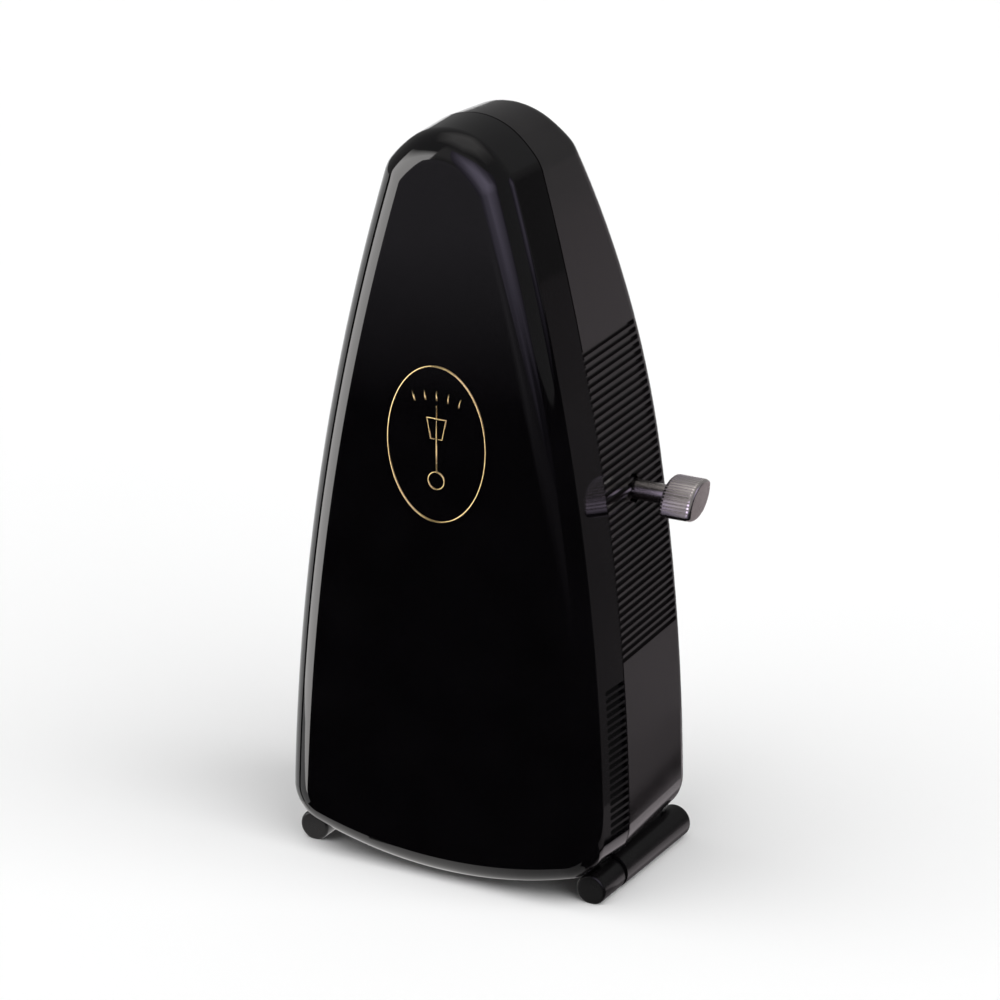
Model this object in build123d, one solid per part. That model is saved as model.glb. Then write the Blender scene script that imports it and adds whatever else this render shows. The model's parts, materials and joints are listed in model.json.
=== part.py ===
from build123d import *
from math import asin, copysign, cos, degrees, hypot, pi, radians, sin, sqrt
import os

# Wind-up pendulum metronome in millimetres: X right, Y to the back, Z up.
# The origin is on the ground, in the middle of the casing, under the seam of shell and cover.

# Casing outline on the seam plane
HALF_WIDTH = 36.3
SIDE_RADIUS = 515.0
SIDE_CENTRE_Z = 0.7
BELLY_Z = 0.3
CORNER_Z = 7.6
CORNER_ROUND = 9.7
SHOULDER_Z = 150.0
SHOULDER_ROUND = 8.6
APEX_Z = 160.2
APEX_ROUND = 14.7
ROOF_CROWN = 1.45

# Shell and cover
SEAM_GAP = 0.4
DRAFT = 2.9
COVER_DEPTH = 15.6
COVER_WALL = 2.0
EDGE_ROLL = 6.0
CASE_DEPTH = 30.8
CASE_WALL = 2.0
BACK_BEND_Z = 85.0
BACK_RADIUS = 181.0
BACK_ROUND = 4.5
BACK_FACING = 0.8
LIP_REACH = 1.8
LIP_WALL = 1.0
LIP_CLEAR = 0.25
LIP_TOP_Z = 52.0

# Ribs on the side walls
RIB_PITCH = 1.57
GROOVE_WIDTH = 1.0
GROOVE_DEPTH = 0.8
CASE_RIBS = 41
CASE_RIB_Z = 49.8
CASE_RIB_MARGIN = 3.9
COVER_RIBS = 20
COVER_RIB_Z = 15.6
COVER_RIB_FRONT = 7.6
RIB_OVERRUN = 1.6

# Feet
FOOT_INSET = 4.0
FOOT_RADIUS = 3.6
FOOT_END_Y = 29.4
STUB_RADIUS = 3.25
STUB_FRONT = 9.5
STUB_CAP_LENGTH = 4.2
FOOT_FLAT = 0.25
FOOT_WEB = 3.0
FOOT_WEB_INSET = 1.4
FOOT_WEB_REAR = 22.0
FOOT_EDGE = 0.6

# Badge panel on the cover
BADGE_Z = 94.7
BADGE_HALF_WIDTH = 11.2
BADGE_HALF_HEIGHT = 16.4
BADGE_THICKNESS = 0.6
BADGE_RECESS = 0.45

# Fits
FIT = 0.02
RUN = 0.05
SLIDE_CLEAR = 0.12

# Movement frame: two plates across X, held apart by pillars
PLATE_INNER_X = 16.0
PLATE_THICKNESS = 1.6
PLATE_FRONT_REACH = 10.0
PLATE_REAR_CLEAR = 6.0
PLATE_BELOW_PIVOT = 16.75
PLATE_ABOVE_KEY = 18.0
PILLAR_RADIUS = 1.6
PILLAR_EDGE = 3.0
UPPER_PILLAR_REAR = 1.9
LOWER_PILLAR_FRONT = 3.6
LOWER_PILLAR_REAR = 3.4
SCREW_SHANK = 0.9
SCREW_HEAD = 1.6
SCREW_HEAD_HEIGHT = 0.9
SCREW_DEPTH = 4.0
LUG_LENGTH = 6.0
LUG_HEIGHT = 6.0
LUG_THICKNESS = 1.6
LUG_INSET = 1.6
LUG_ABOVE_KEY = 9.0
LUG_BELOW_PIVOT = 7.75
BOSS_RADIUS = 2.4
BRIDGE_THICKNESS = 1.8
BRIDGE_HALF_HEIGHT = 4.4
BRIDGE_SCREW_OFFSET = 2.8
BRIDGE_SCREW_SHANK = 0.45
BRIDGE_SCREW_HEAD = 0.75
BUSH_RADIUS = 2.2
BUSH_RIM = 0.2

# Wheel train: every wheel turns about an axis along X
KEY_Z = 81.0
TRAIN_WALL_CLEAR = 4.3
MODULE = 0.5
ADDENDUM = 0.4
DEDENDUM = 0.5
TOOTH_ROOT_SHARE = 0.62
TOOTH_TIP_SHARE = 0.22
GREAT_TEETH = 38
SECOND_PINION_TEETH = 10
SECOND_TEETH = 36
ESCAPE_PINION_TEETH = 9
WHEEL_THICKNESS = 1.4
PINION_LENGTH = 3.4
ARBOR_RADIUS = 1.0
COLLET_RADIUS = 2.4
COLLET_LENGTH = 1.6
GREAT_WHEEL_X = -3.6
SECOND_WHEEL_X = 9.0
SPOKE_HOLES = 5
SPOKE_HOLE_RADIUS = 1.7

# Barrel and winding work
WINDING_ARBOR_RADIUS = 1.5
ARBOR_CORE_RADIUS = 2.6
BARREL_RADIUS = 8.4
BARREL_WALL = 0.8
BARREL_LENGTH = 9.6
LID_THICKNESS = 1.0
BARREL_END_CLEAR = 0.5
SPRING_TURNS = 6
SPRING_THICKNESS = 0.3
SPRING_CLEAR = 0.2
RATCHET_TEETH = 16
RATCHET_RADIUS = 5.4
RATCHET_ROOT_RADIUS = 4.5
RATCHET_THICKNESS = 1.4
RATCHET_CLEAR = 0.4
CLICK_POST_FORWARD = 8.0
CLICK_POST_RISE = 3.0
CLICK_POST_RADIUS = 0.8
CLICK_EYE_RADIUS = 1.7
CLICK_HEAD_HEIGHT = 0.4
CLICK_TIP_ANGLE = 130.0
CLICK_TIP_CLEAR = 0.25
CLICK_HALF_WIDTH = 0.8
CLICK_SPRING_THICKNESS = 0.4
CLICK_SPRING_LIFT = 1.2
CLICK_SPRING_FOOT = 3.0
CLICK_SPRING_RISE = 4.5

# Winding key
KEY_STEM_RADIUS = 2.05
KEY_HOLE_RADIUS = 3.0
KEY_STEM_INSIDE = 8.0
KEY_STEM_OUTSIDE = 7.0
KEY_SOCKET_DEPTH = 9.0
KEY_HEAD_LENGTH = 7.0
KEY_HEAD_HALF_LONG = 5.8
KEY_HEAD_HALF_SHORT = 3.5
KEY_HEAD_TIP_ROUND = 0.8
KEY_HEAD_ROUND = 0.9
KEY_TILT = 28.0
KEY_KNURLS = 17
KEY_KNURL_RADIUS = 0.17
KEY_KNURL_SPREAD = 0.8

# Escapement: crown wheel beside the pendulum staff
ESCAPE_TIP_X = 2.2
ESCAPE_DISC_X = 4.6
ESCAPE_DISC_THICKNESS = 1.0
ESCAPE_RADIUS = 6.6
ESCAPE_RIM = 0.8
ESCAPE_TEETH = 15
ESCAPE_TOOTH_DEPTH = 1.7
ESCAPE_TOOTH_LAND = 0.4
COCK_CLEAR = 0.6
COCK_THICKNESS = 1.4
COCK_HALF_HEIGHT = 2.4
COCK_FLANGE = 1.2
COCK_FLANGE_REACH = 4.0
PALLET_OFFSET = 6.2
PALLET_COLLAR_RADIUS = 1.75
PALLET_LENGTH = 2.2
PALLET_REACH = 2.4
PALLET_THICKNESS = 0.5
PALLET_ANGLE = 50.0

# Pendulum
SCALE_FRONT_Y = 0.4
SCALE_THICKNESS = 1.4
SCALE_CLEAR = 0.35
SCALE_STAFF_HOLE = 3.0
SCALE_POST_RADIUS = 2.6
LOWER_POST_X = 26.0
LOWER_POST_Z = 20.0
UPPER_POST_X = 9.0
UPPER_POST_Z = 138.0
SCALE_SCREW_HEAD = 2.0
HUB_RADIUS = 4.2
HUB_THICKNESS = 1.6
HUB_GAP = 1.0
ROD_WIDTH = 2.4
ROD_THICKNESS = 0.8
ROD_TOP_Z = 131.75
ROD_EYE_RADIUS = 3.36
ROD_TIP_ROUND = 0.96
ROD_NOTCH_PITCH = 1.25
ROD_NOTCH_DEPTH = 0.3
ROD_NOTCH_HALF_WIDTH = 0.6
ROD_NOTCH_START = 20.0
ROD_PLAIN_TOP = 6.5
NUT_RADIUS = 1.9
NUT_HEIGHT = 1.2
ARM_GAP = 0.6
ARM_THICKNESS = 1.0
ARM_WIDTH = 2.6
ARM_COLLAR_RADIUS = 2.4
BOB_DISTANCE = 27.0
BOB_RADIUS = 8.0
BOB_THICKNESS = 5.6
WEIGHT_DISTANCE = 46.0
WEIGHT_TOP_WIDTH = 9.6
WEIGHT_BOTTOM_WIDTH = 6.4
WEIGHT_HEIGHT = 8.6
WEIGHT_BACK = 1.0
WEIGHT_FRONT = 1.9
WEIGHT_ROUND = 0.7
CLIP_LENGTH = 5.6
CLIP_WIDTH = 2.32
CLIP_THICKNESS = 0.3
CLIP_CLEAR = 0.15
CATCH_GAP = 1.6
CATCH_WIDTH = 3.2
CATCH_HEIGHT = 2.4
CATCH_LIP_CLEAR = 0.6
CATCH_LIP_THICKNESS = 0.9
CATCH_LIP_DROP = 2.2

# Places worked out from the sizes above
SEAM_Y = SEAM_GAP / 2
COVER_FACE_Y = -SEAM_Y - COVER_DEPTH
FOOT_X = HALF_WIDTH - FOOT_INSET
SECOND_Z = KEY_Z - MODULE * (GREAT_TEETH + SECOND_PINION_TEETH) / 2
PIVOT_Z = SECOND_Z - MODULE * (SECOND_TEETH + ESCAPE_PINION_TEETH) / 2
TRAIN_Y = CASE_DEPTH - CASE_WALL - TRAIN_WALL_CLEAR - MODULE * GREAT_TEETH / 2 - ADDENDUM
PLATE_OUTER_X = PLATE_INNER_X + PLATE_THICKNESS
PLATE_FRONT_Y = TRAIN_Y - PLATE_FRONT_REACH
PLATE_REAR_Y = CASE_DEPTH - CASE_WALL - PLATE_REAR_CLEAR
PLATE_BOTTOM_Z = PIVOT_Z - PLATE_BELOW_PIVOT
PLATE_TOP_Z = KEY_Z + PLATE_ABOVE_KEY
LUG_REAR_Y = PLATE_REAR_Y - LUG_INSET
UPPER_LUG_Z = KEY_Z + LUG_ABOVE_KEY
LOWER_LUG_Z = PIVOT_Z - LUG_BELOW_PIVOT
CLICK_POST_Y = TRAIN_Y - CLICK_POST_FORWARD
CLICK_POST_Z = KEY_Z + CLICK_POST_RISE
ROD_LENGTH = ROD_TOP_Z - PIVOT_Z
ROD_NOTCHES = int((ROD_LENGTH - ROD_NOTCH_START - ROD_PLAIN_TOP) / ROD_NOTCH_PITCH)
SCALE_REAR_Y = SCALE_FRONT_Y + SCALE_THICKNESS
HUB_REAR_Y = SCALE_FRONT_Y - HUB_GAP
ROD_REAR_Y = HUB_REAR_Y - HUB_THICKNESS
ROD_FRONT_Y = ROD_REAR_Y - ROD_THICKNESS
NUT_FRONT_Y = ROD_FRONT_Y - NUT_HEIGHT
FRONT_BRIDGE_Y = PLATE_FRONT_Y - BRIDGE_THICKNESS
REAR_BRIDGE_Y = PLATE_REAR_Y + BRIDGE_THICKNESS
ARM_FRONT_Y = PLATE_FRONT_Y + BUSH_RIM + ARM_GAP
ARM_REAR_Y = ARM_FRONT_Y + ARM_THICKNESS
BARREL_RIGHT_X = GREAT_WHEEL_X
BARREL_LEFT_X = BARREL_RIGHT_X - BARREL_LENGTH
RATCHET_X = PLATE_OUTER_X + RATCHET_CLEAR
COCK_X = ESCAPE_DISC_X + ESCAPE_DISC_THICKNESS + COCK_CLEAR
CATCH_BOTTOM_Z = ROD_TOP_Z + CATCH_GAP


def side_half_width(z):
    """Half width of the casing on the seam plane at height z."""
    return HALF_WIDTH - SIDE_RADIUS + sqrt(SIDE_RADIUS**2 - (z - SIDE_CENTRE_Z) ** 2)


KEY_WALL_X = side_half_width(KEY_Z) - TRAIN_Y * sin(radians(DRAFT))
KEY_HEAD_X = KEY_WALL_X + KEY_STEM_OUTSIDE


def rod_x(radius, x0, x1, y, z):
    """Round bar along X."""
    return Pos((x0 + x1) / 2, y, z) * Rot(0, 90, 0) * Cylinder(radius, x1 - x0)


def rod_y(radius, y0, y1, x, z):
    """Round bar along Y."""
    return Pos(x, (y0 + y1) / 2, z) * Rot(90, 0, 0) * Cylinder(radius, y1 - y0)


def block(x0, x1, y0, y1, z0, z1):
    """Box between two corners."""
    centre = Pos((x0 + x1) / 2, (y0 + y1) / 2, (z0 + z1) / 2)
    return centre * Box(x1 - x0, y1 - y0, z1 - z0)


def across(x, y, z):
    """Plane facing +X, whose own axes are Y and Z."""
    return Plane((x, y, z), x_dir=(0, 1, 0), z_dir=(1, 0, 0))


def facing_front(y):
    """Plane facing -Y, whose own axes are X and Z."""
    return Plane((0, y, 0), x_dir=(1, 0, 0), z_dir=(0, -1, 0))


def facing_back(y):
    """Plane facing +Y, with Z up."""
    return Plane((0, y, 0), x_dir=(-1, 0, 0), z_dir=(0, 1, 0))


# Casing

def circles_meet(centre_a, radius_a, centre_b, radius_b):
    """Both crossings of two circles, each given as its centre (x, z) and radius."""
    run_x, run_z = centre_b[0] - centre_a[0], centre_b[1] - centre_a[1]
    distance = hypot(run_x, run_z)
    along = (distance**2 + radius_a**2 - radius_b**2) / (2 * distance)
    aside = sqrt(radius_a**2 - along**2)
    foot_x, foot_z = centre_a[0] + run_x * along / distance, centre_a[1] + run_z * along / distance
    step_x, step_z = -run_z * aside / distance, run_x * aside / distance
    return (foot_x + step_x, foot_z + step_z), (foot_x - step_x, foot_z - step_z)


def height_of(point):
    return point[1]


def roof_circle():
    """Centre and radius of the right roof curve, from its two ends and its crown."""
    foot_x, rise = side_half_width(SHOULDER_Z), APEX_Z - SHOULDER_Z
    chord = hypot(foot_x, rise)
    radius = (chord**2 / 4 + ROOF_CROWN**2) / (2 * ROOF_CROWN)
    inward = (radius - ROOF_CROWN) / chord
    return (foot_x / 2 - rise * inward, SHOULDER_Z + rise / 2 - foot_x * inward), radius


def casing_outline(inset):
    """Outline of the casing on the seam plane, drawn in by inset all round."""
    side_centre, side_radius = (HALF_WIDTH - SIDE_RADIUS, SIDE_CENTRE_Z), SIDE_RADIUS - inset
    half_base, belly_rise = side_half_width(CORNER_Z), CORNER_Z - BELLY_Z
    belly_radius = (half_base**2 + belly_rise**2) / (2 * belly_rise)
    roof_centre, roof_radius = roof_circle()
    roof_radius -= inset
    belly_centre = (0, BELLY_Z + belly_radius)
    low_ends = circles_meet(side_centre, side_radius, belly_centre, belly_radius - inset)
    high_ends = circles_meet(side_centre, side_radius, roof_centre, roof_radius)
    corner_x, corner_z = min(low_ends, key=height_of)
    shoulder_x, shoulder_z = max(high_ends, key=height_of)
    apex_z = roof_centre[1] + sqrt(roof_radius**2 - roof_centre[0] ** 2)
    waist_z = (corner_z + shoulder_z) / 2
    waist_x = side_centre[0] + sqrt(side_radius**2 - (waist_z - SIDE_CENTRE_Z) ** 2)
    roof_x = shoulder_x / 2
    roof_z = roof_centre[1] + sqrt(roof_radius**2 - (roof_x - roof_centre[0]) ** 2)
    outline = make_face(
        [
            ThreePointArc((-corner_x, corner_z), (0, BELLY_Z + inset), (corner_x, corner_z)),
            ThreePointArc((corner_x, corner_z), (waist_x, waist_z), (shoulder_x, shoulder_z)),
            ThreePointArc((shoulder_x, shoulder_z), (roof_x, roof_z), (0, apex_z)),
            ThreePointArc((0, apex_z), (-roof_x, roof_z), (-shoulder_x, shoulder_z)),
            ThreePointArc((-shoulder_x, shoulder_z), (-waist_x, waist_z), (-corner_x, corner_z)),
        ]
    )
    outline = fillet(outline.vertices().filter_by_position(Axis.Y, 0, waist_z), CORNER_ROUND - inset)
    outline = fillet(outline.vertices().sort_by(Axis.Y)[-1], APEX_ROUND - inset)
    roof_foot = [v for v in outline.vertices() if abs(v.Y - shoulder_z) < FIT]
    return fillet(roof_foot, SHOULDER_ROUND - inset)


def cover_form(inset, depth, roll):
    """Solid form of the cover with its rolled front edge."""
    form = extrude(facing_front(-SEAM_Y) * casing_outline(inset), amount=depth, taper=DRAFT)
    front = form.faces().sort_by(Axis.Y)[0]
    return fillet(front.edges(), roll)


def back_prism(inset):
    """Everything in front of the back surface: upright below, curving forward above."""
    back_y = CASE_DEPTH - inset
    radius = BACK_RADIUS - inset
    rise = APEX_Z - BACK_BEND_Z
    turn = asin(rise / radius)
    middle = (back_y - radius * (1 - cos(turn / 2)), BACK_BEND_Z + radius * sin(turn / 2))
    top = (back_y - radius * (1 - cos(turn)), APEX_Z)
    profile = make_face(
        [
            Line((-CASE_DEPTH, -CORNER_Z), (back_y, -CORNER_Z)),
            Line((back_y, -CORNER_Z), (back_y, BACK_BEND_Z)),
            ThreePointArc((back_y, BACK_BEND_Z), middle, top),
            Line(top, (-CASE_DEPTH, APEX_Z)),
            Line((-CASE_DEPTH, APEX_Z), (-CASE_DEPTH, -CORNER_Z)),
        ]
    )
    return extrude(across(0, 0, 0) * profile, amount=HALF_WIDTH * 2, both=True)


def case_form(inset, back_inset):
    """Solid form of the rear shell, tapering from the seam to the back."""
    form = extrude(facing_back(SEAM_Y) * casing_outline(inset), amount=CASE_DEPTH, taper=DRAFT)
    return form & back_prism(back_inset)


def rounded_case_form():
    """Outer form of the rear shell with its back edge rounded."""
    form = case_form(0, 0)
    edges = ShapeList()
    for face in form.faces():
        if face.normal_at(face.center()).Y > BACK_FACING:
            edges += [edge for edge in face.edges() if not is_back_bend(edge)]
    return fillet(edges, BACK_ROUND)


def is_back_bend(edge):
    """True for the line across the back where it starts to curve."""
    return abs(edge.center().Z - BACK_BEND_Z) < FIT and edge.length > HALF_WIDTH


def back_reach(z):
    """How far back the casing reaches at height z."""
    rise = max(z - BACK_BEND_Z, 0)
    return CASE_DEPTH - BACK_RADIUS + sqrt(BACK_RADIUS**2 - rise**2)


def rib_heights(count, first_z):
    return [first_z + i * RIB_PITCH for i in range(count)]


def rib_grooves(spans, floor):
    """Grooves between the ribs of both side walls, down to the floor form; a span is (z, front, rear)."""
    grooves = Sketch()
    for z, front_y, rear_y in spans:
        grooves += Pos((front_y + rear_y) / 2, z) * SlotOverall(rear_y - front_y, GROOVE_WIDTH)
    bars = extrude(across(0, 0, 0) * grooves, amount=HALF_WIDTH * 2, both=True)
    return bars - floor


def rear_case():
    shell = rounded_case_form() - case_form(CASE_WALL, CASE_WALL)
    inside = case_form(CASE_WALL / 2, CASE_WALL / 2)
    for x, z in boss_places():
        boss = rod_y(BOSS_RADIUS, LUG_REAR_Y, CASE_DEPTH, x, z) & inside
        hole_end = LUG_REAR_Y + SCREW_DEPTH - LUG_THICKNESS
        shell += boss - rod_y(SCREW_SHANK + FIT, LUG_REAR_Y, hole_end, x, z)
    for x, z in post_places():
        post = rod_y(SCALE_POST_RADIUS, SCALE_REAR_Y, CASE_DEPTH, x, z) & inside
        hole_end = SCALE_REAR_Y + SCREW_DEPTH
        shell += post - rod_y(SCREW_SHANK + FIT, SCALE_REAR_Y, hole_end, x, z)
    shell += locating_lip()
    shell -= rod_x(KEY_HOLE_RADIUS, PLATE_OUTER_X, HALF_WIDTH * 2, TRAIN_Y, KEY_Z)
    floor = extrude(facing_back(SEAM_Y) * casing_outline(GROOVE_DEPTH), amount=CASE_DEPTH, taper=DRAFT)
    floor += extrude(facing_front(SEAM_Y) * casing_outline(GROOVE_DEPTH), amount=CASE_DEPTH)
    heights = rib_heights(CASE_RIBS, CASE_RIB_Z)
    return shell - rib_grooves([(z, -RIB_OVERRUN, back_reach(z) - CASE_RIB_MARGIN) for z in heights], floor)


def locating_lip():
    """Low rim inside the seam that the cover slides over, round the foot of the casing."""
    outer = casing_outline(COVER_WALL + LIP_CLEAR)
    inner = casing_outline(COVER_WALL + LIP_CLEAR + LIP_WALL)
    rim = extrude(facing_front(SEAM_Y) * (outer - inner), amount=LIP_REACH + SEAM_Y)
    root = casing_outline(CASE_WALL / 2) - inner
    rim += extrude(facing_back(SEAM_Y) * root, amount=LIP_WALL)
    reach = CASE_DEPTH
    return rim & block(-HALF_WIDTH, HALF_WIDTH, -reach, reach, 0, LIP_TOP_Z)


def boss_places():
    """Where the movement is screwed to the back wall, as x and z."""
    x = PLATE_OUTER_X + LUG_LENGTH / 2
    return [(x, UPPER_LUG_Z), (-x, UPPER_LUG_Z), (x, LOWER_LUG_Z), (-x, LOWER_LUG_Z)]


def post_places():
    """Where the scale plate is screwed on, as x and z."""
    lower = [(LOWER_POST_X, LOWER_POST_Z), (-LOWER_POST_X, LOWER_POST_Z)]
    return lower + [(UPPER_POST_X, UPPER_POST_Z), (-UPPER_POST_X, UPPER_POST_Z)]


def front_cover():
    cavity = cover_form(COVER_WALL, COVER_DEPTH - COVER_WALL, EDGE_ROLL - COVER_WALL)
    shell = cover_form(0, COVER_DEPTH, EDGE_ROLL) - cavity - badge(BADGE_RECESS, FIT)
    floor = extrude(facing_front(-SEAM_Y) * casing_outline(GROOVE_DEPTH), amount=COVER_DEPTH, taper=DRAFT)
    floor += extrude(facing_back(-SEAM_Y) * casing_outline(GROOVE_DEPTH), amount=COVER_DEPTH)
    heights = rib_heights(COVER_RIBS, COVER_RIB_Z)
    return shell - rib_grooves([(z, -COVER_RIB_FRONT, RIB_OVERRUN) for z in heights], floor)


def badge(depth, grow):
    """Upright oval let into the cover face, depth deep."""
    oval = Pos(0, BADGE_Z) * Ellipse(BADGE_HALF_WIDTH + grow, BADGE_HALF_HEIGHT + grow)
    return extrude(facing_back(COVER_FACE_Y) * oval, amount=depth)


def badge_panel():
    return Pos(0, BADGE_RECESS - BADGE_THICKNESS, 0) * badge(BADGE_THICKNESS, 0)


# Feet

def on_ground(shape):
    """Cut a flat at ground level."""
    return shape & block(-HALF_WIDTH * 2, HALF_WIDTH * 2, -CASE_DEPTH * 2, CASE_DEPTH * 2, 0, APEX_Z)


def foot_web(x, y0, y1, low_z):
    """Upright web from a foot's inner half into the corner of the casing."""
    middle = x - copysign(FOOT_WEB_INSET, x)
    return block(middle - FOOT_WEB / 2, middle + FOOT_WEB / 2, y0, y1, low_z, CORNER_Z + CORNER_ROUND)


def foot_bar(x):
    """Round bar under one side of the rear shell, on a web that follows the shell."""
    axis_z = FOOT_RADIUS - FOOT_FLAT
    bar = rod_y(FOOT_RADIUS, SEAM_Y, FOOT_END_Y, x, axis_z)
    bar = fillet(bar.edges().sort_by(Axis.Y)[-1], FOOT_EDGE)
    web = foot_web(x, SEAM_Y, FOOT_WEB_REAR, axis_z)
    shell = extrude(facing_back(SEAM_Y) * casing_outline(0), amount=CASE_DEPTH, taper=DRAFT)
    return largest(on_ground((bar + web) - shell))


def cover_foot(x):
    """Round stub under one side of the cover."""
    axis_z = STUB_RADIUS - FOOT_FLAT
    joint_y = -STUB_FRONT + STUB_CAP_LENGTH
    bar = rod_y(STUB_RADIUS, joint_y, -SEAM_Y, x, axis_z)
    web = foot_web(x, joint_y, -SEAM_Y, axis_z)
    shell = extrude(facing_front(-SEAM_Y) * casing_outline(0), amount=COVER_DEPTH, taper=DRAFT)
    return largest(on_ground((bar + web) - shell))


def foot_cap(x):
    """Plug at the front end of a cover stub."""
    axis_z = STUB_RADIUS - FOOT_FLAT
    cap = rod_y(STUB_RADIUS, -STUB_FRONT, -STUB_FRONT + STUB_CAP_LENGTH, x, axis_z)
    cap = fillet(cap.edges().sort_by(Axis.Y)[0], FOOT_EDGE)
    return on_ground(cap)


def largest(shape):
    """The biggest solid of a shape."""
    return shape.solids().sort_by(SortBy.VOLUME)[-1]


# Movement frame

def pillar_places():
    """Pillar axes as y and z."""
    top = PLATE_TOP_Z - PILLAR_EDGE
    bottom = PLATE_BOTTOM_Z + PILLAR_EDGE
    upper = [(PLATE_FRONT_Y + PILLAR_EDGE, top), (TRAIN_Y + UPPER_PILLAR_REAR, top)]
    return upper + [(TRAIN_Y - LOWER_PILLAR_FRONT, bottom), (TRAIN_Y + LOWER_PILLAR_REAR, bottom)]


def bridge_screw_places():
    """Bridge screws as x and z, at both ends of a bridge."""
    x = PLATE_INNER_X + PLATE_THICKNESS / 2
    low, high = PIVOT_Z - BRIDGE_SCREW_OFFSET, PIVOT_Z + BRIDGE_SCREW_OFFSET
    return [(x, low), (x, high), (-x, low), (-x, high)]


def movement_plate(side):
    """One movement plate with its lugs; side is 1 for the right plate and -1 for the left."""
    inner, outer = sorted((side * PLATE_INNER_X, side * PLATE_OUTER_X))
    plate = block(inner, outer, PLATE_FRONT_Y, PLATE_REAR_Y, PLATE_BOTTOM_Z, PLATE_TOP_Z)
    near, far = sorted((side * PLATE_OUTER_X, side * (PLATE_OUTER_X + LUG_LENGTH)))
    for z in (UPPER_LUG_Z, LOWER_LUG_Z):
        low, high = z - LUG_HEIGHT / 2, z + LUG_HEIGHT / 2
        plate += block(near, far, LUG_REAR_Y - LUG_THICKNESS, LUG_REAR_Y, low, high)
    for x, z in boss_places():
        plate -= rod_y(SCREW_SHANK + FIT, PLATE_FRONT_Y, PLATE_REAR_Y, x, z)
    for y, z in pillar_places():
        plate -= rod_x(SCREW_SHANK + FIT, inner, outer, y, z)
    for x, z in bridge_screw_places():
        plate -= rod_y(BRIDGE_SCREW_SHANK + FIT, PLATE_FRONT_Y, PLATE_FRONT_Y + SCREW_DEPTH, x, z)
        plate -= rod_y(BRIDGE_SCREW_SHANK + FIT, PLATE_REAR_Y - SCREW_DEPTH, PLATE_REAR_Y, x, z)
    plate -= rod_x(WINDING_ARBOR_RADIUS + RUN, inner, outer, TRAIN_Y, KEY_Z)
    plate -= rod_x(ARBOR_RADIUS + RUN, inner, outer, TRAIN_Y, SECOND_Z)
    if side > 0:
        plate -= rod_x(ARBOR_RADIUS + RUN, inner, outer, TRAIN_Y, PIVOT_Z)
        plate -= rod_x(CLICK_POST_RADIUS + FIT, inner, outer, CLICK_POST_Y, CLICK_POST_Z)
    return plate


def plate_pillars():
    pillars = Part()
    for y, z in pillar_places():
        pillar = rod_x(PILLAR_RADIUS, -PLATE_INNER_X, PLATE_INNER_X, y, z)
        pillars += pillar - rod_x(SCREW_SHANK + FIT, -PLATE_INNER_X, SCREW_DEPTH - PLATE_INNER_X, y, z)
    for y, z in pillar_places():
        pillars -= rod_x(SCREW_SHANK + FIT, PLATE_INNER_X - SCREW_DEPTH, PLATE_INNER_X, y, z)
    return pillars


def plate_screws(side):
    """Screws through one plate into the pillars."""
    screws = Part()
    for y, z in pillar_places():
        shank_end = side * (PLATE_OUTER_X - SCREW_DEPTH)
        head_end = side * (PLATE_OUTER_X + SCREW_HEAD_HEIGHT)
        shank = rod_x(SCREW_SHANK, *sorted((shank_end, side * PLATE_OUTER_X)), y, z)
        head = rod_x(SCREW_HEAD, *sorted((side * PLATE_OUTER_X, head_end)), y, z)
        screws += shank + head
    return screws


def movement_screws():
    """Screws through the lugs into the back wall."""
    screws = Part()
    lug_front = LUG_REAR_Y - LUG_THICKNESS
    for x, z in boss_places():
        head = rod_y(SCREW_HEAD, lug_front - SCREW_HEAD_HEIGHT, lug_front, x, z)
        screws += head + rod_y(SCREW_SHANK, lug_front, lug_front + SCREW_DEPTH - FIT, x, z)
    return screws


def bridge(front_y):
    """Bar across both plates that carries one end of the pendulum staff."""
    low, high = PIVOT_Z - BRIDGE_HALF_HEIGHT, PIVOT_Z + BRIDGE_HALF_HEIGHT
    rear_y = front_y + BRIDGE_THICKNESS
    bar = block(-PLATE_OUTER_X, PLATE_OUTER_X, front_y, rear_y, low, high)
    for x, z in bridge_screw_places():
        bar -= rod_y(BRIDGE_SCREW_SHANK + FIT, front_y, rear_y, x, z)
    return bar - rod_y(BUSH_RADIUS + FIT, front_y, rear_y, 0, PIVOT_Z)


def bush(front_y):
    """Brass bush for the staff, standing a little proud of its bridge at both faces."""
    rear_y = front_y + BRIDGE_THICKNESS
    ring = rod_y(BUSH_RADIUS, front_y - BUSH_RIM, rear_y + BUSH_RIM, 0, PIVOT_Z)
    return ring - rod_y(ARBOR_RADIUS + RUN, front_y - BUSH_RIM, rear_y + BUSH_RIM, 0, PIVOT_Z)


def bridge_screws():
    screws = Part()
    head_height = BUSH_RIM
    for x, z in bridge_screw_places():
        head = rod_y(BRIDGE_SCREW_HEAD, FRONT_BRIDGE_Y - head_height, FRONT_BRIDGE_Y, x, z)
        screws += head + rod_y(BRIDGE_SCREW_SHANK, FRONT_BRIDGE_Y, PLATE_FRONT_Y + SCREW_DEPTH - FIT, x, z)
        head = rod_y(BRIDGE_SCREW_HEAD, REAR_BRIDGE_Y, REAR_BRIDGE_Y + head_height, x, z)
        screws += head + rod_y(BRIDGE_SCREW_SHANK, PLATE_REAR_Y - SCREW_DEPTH + FIT, REAR_BRIDGE_Y, x, z)
    return screws


# Wheel train

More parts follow.
